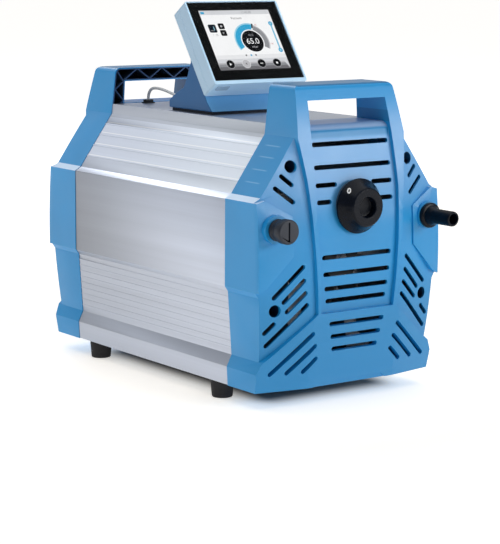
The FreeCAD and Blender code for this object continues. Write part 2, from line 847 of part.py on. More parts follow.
# Ventilation slots, in pairs about the middle unless they cross it
PANEL_SLOTS = (
    (54.3, 274.2), (54.7, 249.1), (49.6, 148.9), (47.8, 129.7),
    (45.6, 113.2), (43.4, 99.2), (39.3, 73.1), (36.1, 58.1), (33.1, 43.4),
)
KNOB_SLOTS = ((27.5, 54.8, 229.4), (36.5, 54.3, 210.6))
WING_SLOTS = (
    ((95.4, 241.7), (84.7, 232.2)),
    ((103.7, 228.8), (84.4, 213.3)),
    ((74.7, 140.7), (107.9, 108.0)),
    ((73.2, 125.4), (96.3, 102.3)),
    ((71.0, 110.9), (91.9, 91.3)),
    ((68.6, 97.3), (114.1, 53.6)),
    ((106.9, 78.0), (116.8, 68.3)),
    ((61.4, 64.1), (110.1, 21.3)),
    ((57.1, 49.7), (89.7, 21.0)),
    ((54.3, 34.7), (69.3, 21.0)),
)
END = "slot_width / 2"
slots = new_sketch("slots", "XZ")
for reach, height in PANEL_SLOTS:
    add_slot(slots, (f"-({reach} - {END})", height), (f"{reach} - {END}", height))
for sign in BOTH_SIDES:
    for near, far, height in KNOB_SLOTS:
        add_slot(slots, (f"{sign}({near})", height), (f"{sign}({far} - {END})", height))
    for start, end in WING_SLOTS:
        add_slot(slots, (f"{sign}{start[0]}", start[1]), (f"{sign}{end[0]}", end[1]))
slot_cut = prism("slot_cut", slots, Vector(0, -1, 0), FRONT_LIMIT, "-(panel_front - 45)")

# Shallow recess in the lower edge of the front
recess_outline = outline_sketch("recess_outline", "XZ", symmetric([
    ("edge_recess_low_half", -1),
    ("edge_recess_high_half", "edge_recess_height"),
]))
recess_across = prism("recess_across", recess_outline, Vector(0, -1, 0), FRONT_LIMIT, "-joint_at")
recess_floor = barrel("recess_floor", wing_plan("(edge_recess - apron_proud)", "apron_slope"))
recess = cut("recess", recess_across, recess_floor)

cover_built = combine("Part::MultiFuse", "cover_built",
                      [cover_skin, truss, tongue, tongue_root, well_columns])
cover_openings = combine("Part::MultiFuse", "cover_openings",
                         [slot_cut, well_bores, well_holes, recess])
cover = cut("cover", cover_built, cover_openings)

# Front cover: seats and holes for the ports and the knob's valve
port_pads = []
port_holes = []
for side, sign in (("right", ""), ("left", "-")):
    port_pads.append(drum(f"{side}_port_pad", "Y", "port_pad_radius", "port_seat - port_pad_back",
                          f"{sign}port_x", "-port_seat", "port_height"))
    port_holes.append(drum(f"{side}_port_hole", "Y", "port_shank_radius + port_shank_gap", 60,
                           f"{sign}port_x", "-port_seat - 20", "port_height"))
valve_hole = drum("valve_hole", "Y", "valve_flange_radius + valve_hole_gap", 60, 0,
                  "-panel_front - 20", "knob_height")
front_built = combine("Part::MultiFuse", "front_built", [cover] + port_pads)
front_holes = combine("Part::MultiFuse", "front_holes", port_holes + [valve_hole])
place(cut("FrontCover", front_built, front_holes), "front_cover")

# Rear cover: the same moulding turned round, cut for the mains module
rear_moulding = mirrored("rear_moulding", cover, Y_AXIS)
mains_cutout = block("mains_cutout", "-mains_body_half - 0.3", "mains_body_end",
                     "mains_height - mains_body_half_height - 0.3", "2 * mains_body_half + 0.6", 60,
                     "2 * mains_body_half_height + 0.6")
place(cut("RearCover", rear_moulding, mains_cutout), "rear_cover")

# Side panels, top plate: one extruded section, split at the seams
PANEL_END = "joint_at - joint_gap"
section = ring("section", "panel_inset", "panel_inset + panel_wall", PANEL_END, f"-({PANEL_END})")
LOWER_FLANK = 9
RIDGE_EDGES = (
    ("ledge_half", "ledge_height", "leg_half", "leg_height", (0.2, 0.4, 0.6, 0.8), "ridge_proud"),
    ("waist_half", "waist_height", "low_half", "low_height",
     tuple((index + 1) / (LOWER_FLANK + 1) for index in range(LOWER_FLANK)), "flank_ridge_proud"),
)


def ridges():
    """Fine ridges along the extrusion, square to the face that they stand on."""
    bars = []
    for number, (x1, z1, x2, z2, shares, proud) in enumerate(RIDGE_EDGES):
        lean = f"atan2({x1} - {x2}; {z2} - {z1})"
        root = "(panel_inset + panel_wall / 2)"
        for index, share in enumerate(shares):
            x = f"{x1} + ({x2} - {x1}) * {share} - {root} * cos({lean})"
            z = f"{z1} + ({z2} - {z1}) * {share} - {root} * sin({lean})"
            bar = block(f"ridge_{number}_{index}", x, f"-({PANEL_END})", z,
                        f"panel_wall / 2 + {proud}", f"2 * ({PANEL_END})", "ridge_width")
            bar.Placement.Rotation = Rotation(Vector(0, -1, 0), 30)
            bind(bar, "Placement.Rotation.Angle", lean)
            bars.append(bar)
    return bars


SPAN = f"2 * ({PANEL_END})"
upper_part = block("upper_part", "top_plate_half + seam_gap", f"-({PANEL_END})", "low_height",
                   "belt_half + 5 - top_plate_half - seam_gap", SPAN, "shelf_height")
lower_part = block("lower_part", "lip_half", f"-({PANEL_END})", -5,
                   "belt_half + 5 - lip_half", SPAN, "low_height + 10")
window = combine("Part::MultiFuse", "window", [upper_part, lower_part])
shell = combine("Part::MultiCommon", "panel_shell", [section, window])
seat = block("plate_seat", "seat_inner_half", "-seat_reach",
             "shelf_height - panel_inset - panel_wall - seat_wall",
             "seat_outer_half - seat_inner_half", "2 * seat_reach", "seat_wall")
panel = combine("Part::MultiFuse", "panel_solid", [shell, seat] + ridges())
foot_holes = combine("Part::MultiFuse", "foot_holes", [
    drum(f"foot_hole_{index}", "Z", "foot_screw_radius + screw_gap", 10, "foot_x", f"{end}foot_y", -3)
    for index, end in enumerate(BOTH_SIDES)])
right_panel = cut("RightSidePanel", panel, foot_holes)
place(mirrored("LeftSidePanel", right_panel, X_AXIS), "left_side_panel")
place(group("RightSidePanelSet", [right_panel]), "right_side_panel")

TOP_FACE = "shelf_height - panel_inset"
top_plate = new_body("top_plate")
pad(top_plate, body_outline(top_plate, "top_plate_edge", "XY",
                            rectangle("-top_plate_half", "top_plate_half", f"-({PANEL_END})", PANEL_END),
                            z=f"{TOP_FACE} - panel_wall"), "panel_wall")
place(top_plate, "top_plate")

LIP_TOP = "panel_inset + panel_wall"
BASE_TOP = f"({LIP_TOP} + base_wall)"
base_plate = new_body("base_plate")
pad(base_plate, body_outline(base_plate, "base_plate_edge", "XY",
                             rectangle("-base_half", "base_half", "-base_reach", "base_reach"),
                             z=LIP_TOP), "base_wall")
base_holes = [(f"{a}foot_x", f"{b}foot_y", "foot_screw_radius + screw_gap / 2")
              for a in BOTH_SIDES for b in BOTH_SIDES]
pocket(base_plate, body_circles(base_plate, "base_plate_holes", "XY", base_holes, z=BASE_TOP), "base_wall")
place(base_plate, "base_plate")


# Turned pieces outside the bodies, for those that are copied about
def spun(name, profile, x, y, z, axis=Z_AXIS):
    """A solid turned about an axis through x, y, z. Points are (radius, height along the axis)."""
    if axis == Z_AXIS:
        sketch = outline_sketch(name + "_profile", "XZ", profile, x, y, z)
    elif axis == Y_AXIS:
        sketch = outline_sketch(name + "_profile", "XY", profile, x, y, z)
    else:
        sketch = outline_sketch(name + "_profile", "XY", [(b, a) for a, b in profile], x, y, z)
    solid = doc.addObject("Part::Revolution", name)
    solid.Source = sketch
    solid.Axis = axis
    solid.Angle = 360
    solid.Solid = True
    for letter, text in zip("xyz", (x, y, z)):
        bind(solid, f"Base.{letter}", text)
    return solid


foot = spun("foot", [
    ("foot_screw_radius + screw_gap", "foot_recess - foot_height"),
    ("foot_recess_radius", "foot_recess - foot_height"),
    ("foot_recess_radius", "-foot_height"),
    ("foot_sole_radius", "-foot_height"),
    ("foot_top_radius", -3),
    ("foot_top_radius", "panel_inset"),
    ("foot_screw_radius + screw_gap", "panel_inset"),
], "-foot_x", "-foot_y", 0)
place(four_ways("feet", foot), "rubber_feet")

foot_screw = spun("foot_screw", [
    (0, "foot_recess - foot_height - foot_screw_head"),
    ("foot_screw_head_radius", "foot_recess - foot_height - foot_screw_head"),
    ("foot_screw_head_radius", "foot_recess - foot_height"),
    ("foot_screw_radius", "foot_recess - foot_height"),
    ("foot_screw_radius", BASE_TOP),
    (0, BASE_TOP),
], "-foot_x", "-foot_y", 0)
place(four_ways("foot_screw_set", foot_screw), "foot_screws")

# Tie rods and the cover screws in their ends
rods = []
screws = []
for level, across, height in WELLS:
    for sign in BOTH_SIDES:
        side = "left" if sign else "right"
        bore = "screw_shank / 2 + screw_gap / 2"
        depth = "rod_end - (screw_length - well_floor) - 2"
        rods.append(spun(f"rod_{level}_{side}", [
            (0, f"-({depth})"),
            (bore, f"-({depth})"),
            (bore, "-rod_end"),
            ("rod_diameter / 2", "-rod_end"),
            ("rod_diameter / 2", "rod_end"),
            (bore, "rod_end"),
            (bore, depth),
            (0, depth),
        ], f"{sign}{across}", 0, height, Y_AXIS))
        for end, along in (("front", "-"), ("rear", "")):
            profile = [
                (0, "rod_end + well_floor - screw_length"),
                ("screw_shank / 2", "rod_end + well_floor - screw_length"),
                ("screw_shank / 2", "rod_end + well_floor"),
                ("screw_head / 2", "rod_end + well_floor"),
                ("screw_head / 2", "rod_end + well_floor + screw_head_length"),
                ("screw_shank / 3", "rod_end + well_floor + screw_head_length"),
                ("screw_shank / 3", "rod_end + well_floor + screw_head_length / 2"),
                (0, "rod_end + well_floor + screw_head_length / 2"),
            ]
            profile = [(radius, f"{along}({spot})") for radius, spot in profile]
            screws.append(spun(f"screw_{level}_{side}_{end}", profile, f"{sign}{across}", 0, height, Y_AXIS))
place(group("rod_set", rods), "tie_rods")
place(group("screw_set", screws), "cover_screws")

# Gas ballast valve on the front: body through the panel, spindle and knob
KNOB_BACK = "-panel_front - knob_gap"
turned("knob", [
    (KNOB_BACK, "spindle_radius"),
    (KNOB_BACK, "knob_radius"),
    (f"{KNOB_BACK} - knob_rim", "knob_radius"),
    (f"{KNOB_BACK} - knob_depth", "knob_face_radius"),
    (f"{KNOB_BACK} - knob_depth", "knob_recess_radius"),
    (f"{KNOB_BACK} - knob_depth + knob_recess", "knob_recess_radius - 1"),
    (f"{KNOB_BACK} - knob_depth + knob_recess", 0),
    (f"{KNOB_BACK} - knob_depth + knob_recess + knob_floor", 0),
    (f"{KNOB_BACK} - knob_depth + knob_recess + knob_floor", "spindle_radius"),
], z="knob_height")
turned("ballast_spindle", [
    (f"{KNOB_BACK} - knob_depth + knob_recess + knob_floor", 0),
    (f"{KNOB_BACK} - knob_depth + knob_recess + knob_floor", "spindle_radius - spindle_gap"),
    ("-valve_reach - 4", "spindle_radius - spindle_gap"),
    ("-valve_reach - 4", 0),
], z="knob_height")
turned("ballast_valve_body", [
    ("-panel_front", "spindle_radius + spindle_gap"),
    ("-panel_front", "valve_flange_radius"),
    ("-panel_front + cover_wall + 9", "valve_flange_radius"),
    ("-panel_front + cover_wall + 9", 16),
    ("-valve_reach", 14),
    ("-valve_reach", 0),
    ("-valve_reach - 3", 0),
    ("-valve_reach - 3", "spindle_radius + spindle_gap"),
], z="knob_height")

# Ports: hose nozzle on the right, silencer on the left, each held by a nut behind the wall
turned("inlet_nozzle", [
    ("-nozzle_tip", "port_bore / 2 + 1"),
    ("-nozzle_tip", "nozzle_radius - 0.4"),
    ("-nozzle_tip + 3", "nozzle_radius"),
    ("-port_seat - nozzle_flange - 4", "nozzle_radius"),
    ("-port_seat - nozzle_flange", "nozzle_radius + 2"),
    ("-port_seat - nozzle_flange", "nozzle_flange_radius"),
    ("-port_seat", "nozzle_flange_radius"),
    ("-port_seat", "port_shank_radius"),
    ("-port_shank_end", "port_shank_radius"),
    ("-port_shank_end", "port_bore / 2"),
    ("-nozzle_tip + 8", "port_bore / 2"),
], x="port_x", z="port_height")
turned("silencer_body", [
    ("-silencer_cap_at", "port_bore / 2"),
    ("-silencer_cap_at", "silencer_waist_radius"),
    ("-silencer_waist_at", "silencer_waist_radius"),
    ("-silencer_waist_at + 1", "silencer_radius"),
    ("-port_seat", "silencer_radius"),
    ("-port_seat", "port_shank_radius"),
    ("-port_shank_end", "port_shank_radius"),
    ("-port_shank_end", "port_bore / 2"),
], x="-port_x", z="port_height")

cap = new_body("silencer_cap")
cap_profile = body_outline(cap, "silencer_cap_profile", "YZ", [
    ("-silencer_cap_at", 0),
    ("-silencer_cap_at", "silencer_cap_radius - 0.8"),
    ("-silencer_cap_at - 0.8", "silencer_cap_radius"),
    ("-silencer_tip + 1.2", "silencer_cap_radius"),
    ("-silencer_tip", "silencer_cap_radius - 1.2"),
    ("-silencer_tip", 0),
], x="-port_x", z="port_height")
revolve(cap, cap_profile)
cap_slot = body_outline(cap, "silencer_cap_slot", "XZ",
                        rectangle(-0.9, 0.9, "-silencer_cap_radius * 0.75", "silencer_cap_radius * 0.75"),
                        x="-port_x", y="-silencer_tip", z="port_height")
pocket(cap, cap_slot, 2.5)
place(cap, "silencer_cap")


def hexagon(width):
    """Corners of a hexagon of the given width across flats, about its own middle."""
    return [(f"({width}) / sqrt(3) * cos({60 * index + 30})",
             f"({width}) / sqrt(3) * sin({60 * index + 30})")
            for index in range(6)]


for label, sign in (("inlet_nut", ""), ("outlet_nut", "-")):
    nut = new_body(label)
    flats = body_outline(nut, label + "_flats", "XZ", hexagon("nut_width"),
                         x=f"{sign}port_x", y="-port_pad_back + nut_depth", z="port_height")
    pad(nut, flats, "nut_depth")
    thread = body_circles(nut, label + "_thread", "XZ", [(0, 0, "port_shank_radius + port_shank_gap")],
                          x=f"{sign}port_x", y="-port_pad_back", z="port_height")
    pocket(nut, thread, "nut_depth")
    place(nut, label)

# Controller: a tilted touch display on a pedestal. The display is modelled upright about the
# bottom edge of its glass, with Y running into it, and its Placement leans it back.
PAD_TOP = "(shelf_height - panel_inset + pad_wall)"


def place_display(body, label):
    place(body, label)
    body.Placement.Rotation = Rotation(X_AXIS, -30)
    bind(body, "Placement.Rotation.Angle", "-display_tilt")
    bind(body, "Placement.Base.y", "display_y + centre_shift")
    bind(body, "Placement.Base.z", "display_z + foot_height")


def display_slab(body, name, half, low, high, front, back):
    """Pads an upright rectangle of the display from front to back of its depth."""
    sketch = body_outline(body, name, "XZ", rectangle(f"-({half})", half, low, high), y=back)
    return pad(body, sketch, f"{back} - ({front})")


def display_pocket(body, name, half, low, high, front, depth):
    sketch = body_outline(body, name, "XZ", rectangle(f"-({half})", half, low, high), y=front)
    return pocket(body, sketch, depth)


DISPLAY_TOP = "glass_height + display_head"
housing = new_body("display_housing")
display_slab(housing, "housing_edge", "display_half", "-display_chin", DISPLAY_TOP, 0, "display_front_depth")
soften(housing, 3.5, lambda edge: runs_along(edge, Y_AXIS))
display_pocket(housing, "glass_recess", "glass_half + glass_gap", "-glass_gap", "glass_height + glass_gap",
               0, "glass_wall")
display_pocket(housing, "housing_room", "glass_half - 3", 4, "glass_height - 4",
               "glass_wall", "display_front_depth")
place_display(housing, "display_housing")

glass = new_body("display_glass")
display_slab(glass, "glass_edge", "glass_half", 0, "glass_height", 0, "glass_wall")
place_display(glass, "display_glass")

lcd = new_body("display_panel")
lcd_low = "((glass_height - lcd_height) / 2 + 1.5)"
display_slab(lcd, "lcd_edge", "lcd_half", lcd_low, f"{lcd_low} + lcd_height", "glass_wall",
             "glass_wall + lcd_wall")
place_display(lcd, "display_panel")

board = new_body("display_board")
display_slab(board, "board_edge", "lcd_half - 3", f"{lcd_low} + 4", f"{lcd_low} + lcd_height - 4",
             "board_at", "board_at + board_wall")
place_display(board, "display_board")

back_shell = new_body("display_back")
display_slab(back_shell, "back_edge", "display_half", "-display_chin", DISPLAY_TOP,
             "display_front_depth", "display_depth")
soften(back_shell, 3.5, lambda edge: runs_along(edge, Y_AXIS))
soften(back_shell, 2.5, lambda edge: abs(edge.BoundBox.YMin - value("display_depth")) < 1e-6,
       "PartDesign::Chamfer")
display_pocket(back_shell, "back_room", "display_half - 4", "4 - display_chin", f"{DISPLAY_TOP} - 4",
               "display_front_depth", "display_depth - display_front_depth - display_wall")
posts = [(f"{a}(lcd_half - 9)", z, 3) for a in BOTH_SIDES
         for z in (f"{lcd_low} + 10", f"{lcd_low} + lcd_height - 10")]
post_sketch = body_circles(back_shell, "board_posts", "XZ", posts, y="display_depth - display_wall")
pad(back_shell, post_sketch, "display_depth - display_wall - board_at - board_wall")
place_display(back_shell, "display_back")

flap = new_body("port_cover")
pad(flap, body_outline(flap, "flap_edge", "XY", rectangle("-62", "-44", "4", "13"),
                       z="-display_chin - 1.2"), 1.2)
soften(flap, 2, lambda edge: runs_along(edge, Z_AXIS))
place_display(flap, "port_cover")

pad_body = new_body("pedestal_pad")
pad(pad_body, body_outline(pad_body, "pad_edge", "XY", rectangle(
    "-pedestal_half + pad_inset", "pedestal_half - pad_inset",
    "pedestal_front + pad_inset", "pedestal_rear - pad_inset"), z=TOP_FACE), "pad_wall")
place(pad_body, "pedestal_pad")


def behind_display(along):
    """A point on the plane of the display's back, measured up from its bottom edge."""
    y = f"display_y + display_depth * cos(display_tilt) + ({along} - display_chin) * sin(display_tilt)"
    z = f"display_z - display_depth * sin(display_tilt) + ({along} - display_chin) * cos(display_tilt)"
    return y, z


pedestal = new_body("controller_pedestal")
PEDESTAL_SIDE = [
    ("pedestal_front", PAD_TOP),
    ("pedestal_rear", PAD_TOP),
    ("pedestal_rear", f"{PAD_TOP} + pedestal_rear_height"),
    ("pedestal_rear - 9", f"{PAD_TOP} + pedestal_rear_height + 6"),
    ("pedestal_rear - 31", f"{PAD_TOP} + 26"),
    ("pedestal_rear - 39", f"{PAD_TOP} + 40"),
    ("pedestal_rear - 46", f"{PAD_TOP} + 57"),
    behind_display(60),
    behind_display(3),
    ("pedestal_front + 11.5", f"{PAD_TOP} + 12"),
]
pad(pedestal, body_outline(pedestal, "pedestal_side", "YZ", PEDESTAL_SIDE, x="-pedestal_half"),
    "2 * pedestal_half")
PEDESTAL_ROOM = [
    ("pedestal_front + 8", PAD_TOP),
    ("pedestal_rear - pedestal_wall", PAD_TOP),
    ("pedestal_rear - pedestal_wall", f"{PAD_TOP} + pedestal_rear_height - 3"),
    ("pedestal_rear - 36", f"{PAD_TOP} + 22"),
    ("pedestal_front + 18", f"{PAD_TOP} + 12"),
]
pocket(pedestal, body_outline(pedestal, "pedestal_room", "YZ", PEDESTAL_ROOM),
       "2 * (pedestal_half - pedestal_wall)", middle=True)
place(pedestal, "controller_pedestal")

# The controller's lead: from a small plug on the top plate over to the pedestal's rear
socket = new_body("cable_socket")
pad(socket, body_outline(socket, "socket_edge", "XY", rectangle(
    "cable_x - 7.5", "cable_x + 7.5", "plug_y - 5.5", "plug_y + 5.5"), z=TOP_FACE), "socket_height")
soften(socket, 2, lambda edge: runs_along(edge, Z_AXIS))
place(socket, "cable_socket")

PLUG_BOTTOM = f"({TOP_FACE} + socket_height)"
plug = new_body("cable_plug")
pad(plug, body_outline(plug, "plug_edge", "XY", rectangle(
    "cable_x - 6", "cable_x + 6", "plug_y - 4", "plug_y + 4"), z=PLUG_BOTTOM), "plug_height")
soften(plug, 2, lambda edge: runs_along(edge, Z_AXIS))
place(plug, "cable_plug")


def rounded_path(points):
    """Straight runs joined by tangent arcs, each as large as its two runs allow."""
    edges = []
    radii = []
    start = points[0]
    for before, corner, after in zip(points, points[1:], points[2:]):
        back = before - corner
        ahead = after - corner
        reach = 0.45 * min(back.Length, ahead.Length)
        half_turn = (math.pi - back.getAngle(ahead)) / 2
        radius = reach / math.tan(half_turn)
        back.normalize()
        ahead.normalize()
        inner = (back + ahead).normalize()
        middle = corner + inner * (radius / math.cos(half_turn) - radius)
        entry = corner + back * reach
        leave = corner + ahead * reach
        edges.append(Part.LineSegment(start, entry).toShape())
        edges.append(Part.Arc(entry, middle, leave).toShape())
        radii.append(radius)
        start = leave
    edges.append(Part.LineSegment(start, points[-1]).toShape())
    return Part.Wire(edges), radii


def tube(points, radius):
    """A round solid swept along the rounded path, checked against section times length."""
    path, radii = rounded_path(points)
    ring_edge = Part.Circle(points[0], points[1] - points[0], radius).toShape()
    solid = path.makePipeShell([Part.Wire([ring_edge])], True, False)
    share = solid.Volume / (math.pi * radius ** 2 * path.Length)
    return solid, radii, path.Length, share


CABLE_ROUTE = (
    (0, 0, 0),
    (0, 0, 5),
    (0, -3.4, 10.9),
    (-0.3, -9.8, 14.6),
    (-0.8, -20.7, 15.7),
    (-1.2, -38.7, 14.4),
    (-1.5, -62.2, 9.8),
    (-1, -83.9, 4.6),
    (-1, -103.5, 4.6),
)
cable_start = Vector(value("cable_x"), value("plug_y"), value(f"{PLUG_BOTTOM} + plug_height"))
cable_points = [cable_start + Vector(*step) for step in CABLE_ROUTE]
cable_points[-1].y = value("pedestal_rear")
cable_solid, cable_radii, cable_length, cable_share = tube(cable_points, value("cable_radius"))
print(f"controller cable {cable_length:.1f} mm, volume share {cable_share:.4f}, radii",
      [round(radius, 1) for radius in cable_radii])
cable = doc.addObject("Part::Feature", "ControllerCable")
cable.Shape = cable_solid
place(cable, "controller_cable")


# Motor
def y_pad(body, name, circles, low, high, x=0, z="axis_height"):
    """Pads circles about the drive axis from Y = low to Y = high."""
    sketch = body_circles(body, name, "XZ", circles, x=x, y=high, z=z)
    return pad(body, sketch, f"{high} - ({low})")


def y_pocket(body, name, circles, low, high, x=0, z="axis_height"):
    """Cuts circles about the drive axis from Y = low to Y = high."""
    sketch = body_circles(body, name, "XZ", circles, x=x, y=low, z=z)
    return pocket(body, sketch, f"{high} - ({low})")


def around(body, feature, axis_sketch, count):
    """Repeats a feature about the axis that stands on a sketch's origin."""
    pattern = body.newObject("PartDesign::PolarPattern", feature.Name + "_around")
    pattern.Originals = [feature]
    pattern.Axis = (axis_sketch, ["N_Axis"])
    pattern.Angle = 360
    pattern.Occurrences = count
    body.Tip = pattern
    return pattern


motor = new_body("motor_housing")
shell_pad = y_pad(motor, "motor_shell", [(0, 0, "motor_radius"), (0, 0, "motor_radius - motor_wall")],
                  "-motor_half", "motor_half")
fin_sketch = body_outline(motor, "motor_fin", "XZ",
                          rectangle(-1.2, 1.2, "motor_radius - 1", "motor_radius + 5"),
                          y="motor_half - 6", z="axis_height")
fin = pad(motor, fin_sketch, "2 * motor_half - 12")
around(motor, fin, shell_pad.Profile[0], 28)
place(motor, "motor_housing")

stator = new_body("stator_core")
core = y_pad(stator, "stator_ring", [(0, 0, "motor_radius - motor_wall"), (0, 0, "stator_bore")],
             "-stator_half", "stator_half")
groove_sketch = body_outline(stator, "stator_slot", "XZ",
                             [(-1.5, "stator_bore - 1"), (1.5, "stator_bore - 1"), (1.5, "stator_bore + 2"),
                              (4.5, "stator_bore + 5"), (5.5, "stator_bore + 15"),
                              (-5.5, "stator_bore + 15"), (-4.5, "stator_bore + 5"),
                              (-1.5, "stator_bore + 2")],
                             y="-stator_half", z="axis_height")
slot_feature = pocket(stator, groove_sketch, "2 * stator_half")
around(stator, slot_feature, core.Profile[0], 12)
place(stator, "stator_core")

winding = spun("winding", [
    ("stator_bore + 5", "stator_half"),
    ("stator_bore + 16", "stator_half"),
    ("stator_bore + 17", "stator_half + 5"),
    ("stator_bore + 15", "winding_reach - 2"),
    ("stator_bore + 12", "winding_reach"),
    ("stator_bore + 8", "winding_reach"),
    ("stator_bore + 5", "winding_reach - 4"),
], 0, 0, "axis_height", Y_AXIS)
place(group("windings", [winding, mirrored("winding_front", winding, Y_AXIS)]), "stator_windings")

shield = spun("end_shield", [
    ("shaft_radius + 3", "motor_half"),
    ("motor_radius", "motor_half"),
    ("motor_radius", "motor_half + 5"),
    ("shield_radius", "motor_half + 5"),
    ("shield_radius", "case_inner"),
    ("bearing_radius", "case_inner"),
    ("bearing_radius", "case_inner - bearing_width"),
    ("shaft_radius + 3", "case_inner - bearing_width"),
], 0, 0, "axis_height", Y_AXIS)
place(group("end_shields", [shield, mirrored("end_shield_front", shield, Y_AXIS)]), "motor_end_shields")


def bearing(name, low, high):
    """A ball bearing as one ring with grooved faces between its races."""
    bore = "shaft_radius + bearing_gap"
    return spun(name, [
        (bore, low), ("shaft_radius + 4", low), ("shaft_radius + 4", f"{low} + 1"),
        ("bearing_radius - 3.5", f"{low} + 1"), ("bearing_radius - 3.5", low), ("bearing_radius", low),
        ("bearing_radius", high), ("bearing_radius - 3.5", high), ("bearing_radius - 3.5", f"{high} - 1"),
        ("shaft_radius + 4", f"{high} - 1"), ("shaft_radius + 4", high), (bore, high),
    ], 0, 0, "axis_height", Y_AXIS)


bearings = [bearing("motor_bearing", "case_inner - bearing_width", "case_inner"),
            bearing("case_bearing", "case_outer", "case_outer + bearing_width")]
bearings += [mirrored(each.Name + "_front", each, Y_AXIS) for each in list(bearings)]
place(group("bearing_set", bearings), "shaft_bearings")

turned("drive_shaft", [
    ("-shaft_end", 0),
    ("-shaft_end", "shaft_radius - 1"),
    ("-shaft_end + 1", "shaft_radius"),
    ("-rotor_half - 12", "shaft_radius"),
    ("-rotor_half - 12", "shaft_radius + 2"),
    ("rotor_half + 12", "shaft_radius + 2"),
    ("rotor_half + 12", "shaft_radius"),
    ("shaft_end - 1", "shaft_radius"),
    ("shaft_end", "shaft_radius - 1"),
    ("shaft_end", 0),
], z="axis_height")

rotor = new_body("rotor")
rotor_ring = y_pad(rotor, "rotor_ring", [(0, 0, "rotor_radius"), (0, 0, "shaft_radius + 2")],
                   "-rotor_half", "rotor_half")
place(rotor, "rotor_magnets")

# Pump units: crank chamber, eccentric, two rods and two heads at each end of the motor
ENDS = (("front", "-"), ("rear", ""))
SIDES = (("left", "-", "unit_at + unit_stagger"), ("right", "", "unit_at - unit_stagger"))
CASE_LOW = f"{BASE_TOP} + buffer_height"


def ordered(sign, inner, outer):
    """Low and high Y of a span that lies between two distances from the middle."""
    return (f"-({outer})", f"-({inner})") if sign else (inner, outer)


def screw_ring(count=6):
    """Places of the head screws about a head's own axis."""
    return [(f"head_screw_circle * cos({30 + 360 / count * index})",
             f"head_screw_circle * sin({30 + 360 / count * index})") for index in range(count)]


def crankcase(end, sign):
    case = new_body(f"{end}_crankcase")
    low, high = ordered(sign, "case_inner", "case_outer")
    outline = symmetric([
        ("case_foot_half", CASE_LOW),
        ("case_foot_half", f"{CASE_LOW} + 8"),
        ("case_half", f"{CASE_LOW} + 20"),
        ("case_half", "case_top - 10"),
        ("case_half - 10", "case_top"),
    ])
    pad(case, body_outline(case, f"{end}_case_end", "XZ", outline, y=high), f"{high} - ({low})")
    boss_low, boss_high = ordered(sign, "case_outer", "case_outer + bearing_width")
    y_pad(case, f"{end}_case_boss", [(0, 0, "boss_radius")], boss_low, boss_high)
    arch = [("-case_arch_half", CASE_LOW), ("case_arch_half", CASE_LOW),
            ("case_arch_half - 6", "axis_height - chamber_radius - case_arch_wall"),
            ("6 - case_arch_half", "axis_height - chamber_radius - case_arch_wall")]
    pocket(case, body_outline(case, f"{end}_case_arch", "XZ", arch, y=low), f"{high} - ({low})")
    for side, across, along in SIDES:
        face = "-flange_face" if across else "case_half"
        flange = body_circles(case, f"{end}_{side}_flange", "YZ",
                              [(f"{sign}({along})", "axis_height", "flange_radius")], x=face)
        pad(case, flange, "flange_face - case_half")
    low, high = ordered(sign, "case_inner + chamber_wall", "case_outer - chamber_wall")
    y_pocket(case, f"{end}_chamber", [(0, 0, "chamber_radius")], low, high)
    low, high = ordered(sign, "case_inner - 1", "case_outer + bearing_width + 1")
    y_pocket(case, f"{end}_shaft_hole", [(0, 0, "shaft_radius + 3")], low, high)
    low, high = ordered(sign, "case_outer", "case_outer + bearing_width")
    y_pocket(case, f"{end}_bearing_bore", [(0, 0, "bearing_radius")], low, high)
    for side, across, along in SIDES:
        middle = f"{sign}({along})"
        right_end = 0 if across else "flange_face"
        bore = body_circles(case, f"{end}_{side}_bore", "YZ", [(middle, "axis_height", "bore_radius")],
                            x=right_end)
        pocket(case, bore, "flange_face")
        tapped = [(f"{middle} + {y}", f"axis_height + {z}", "head_screw_radius + 0.05")
                  for y, z in screw_ring()]
        depth = "flange_face - case_half + 3"
        holes = body_circles(case, f"{end}_{side}_tapped", "YZ", tapped,
                             x=f"-flange_face + {depth}" if across else "flange_face")
        pocket(case, holes, depth)
    place(case, f"{end}_crankcase")


def eccentric(end, sign, throw):
    """Eccentric with a counterweight on each side, bored for the shaft."""
    body = new_body(f"{end}_eccentric")
    low, high = ordered(sign, "unit_at - eccentric_half", "unit_at + eccentric_half")
    y_pad(body, f"{end}_eccentric_drum", [(throw, 0, "eccentric_radius")], low, high)
    for index, (near, far) in enumerate((
            ("unit_at - eccentric_half - weight_wall", "unit_at - eccentric_half"),
            ("unit_at + eccentric_half", "unit_at + eccentric_half + weight_wall"))):
        low, high = ordered(sign, near, far)
        y_pad(body, f"{end}_weight_{index}", [(0, 0, "weight_radius")], low, high)
        heavy = "-" if throw.startswith("-") else ""
        reach = ("-weight_radius - 1", "-6") if heavy else ("6", "weight_radius + 1")
        upper = body_outline(body, f"{end}_weight_{index}_upper", "XZ",
                             rectangle(*reach, 10, "weight_radius + 1"), y=low, z="axis_height")
        pocket(body, upper, "weight_wall")
        lower = body_outline(body, f"{end}_weight_{index}_lower", "XZ",
                             rectangle(*reach, "-weight_radius - 1", -10), y=low, z="axis_height")
        pocket(body, lower, "weight_wall")
    low, high = ordered(sign, "case_inner", "case_outer")
    y_pocket(body, f"{end}_eccentric_bore", [(0, 0, "shaft_radius")], low, high)
    place(body, f"{end}_eccentric")


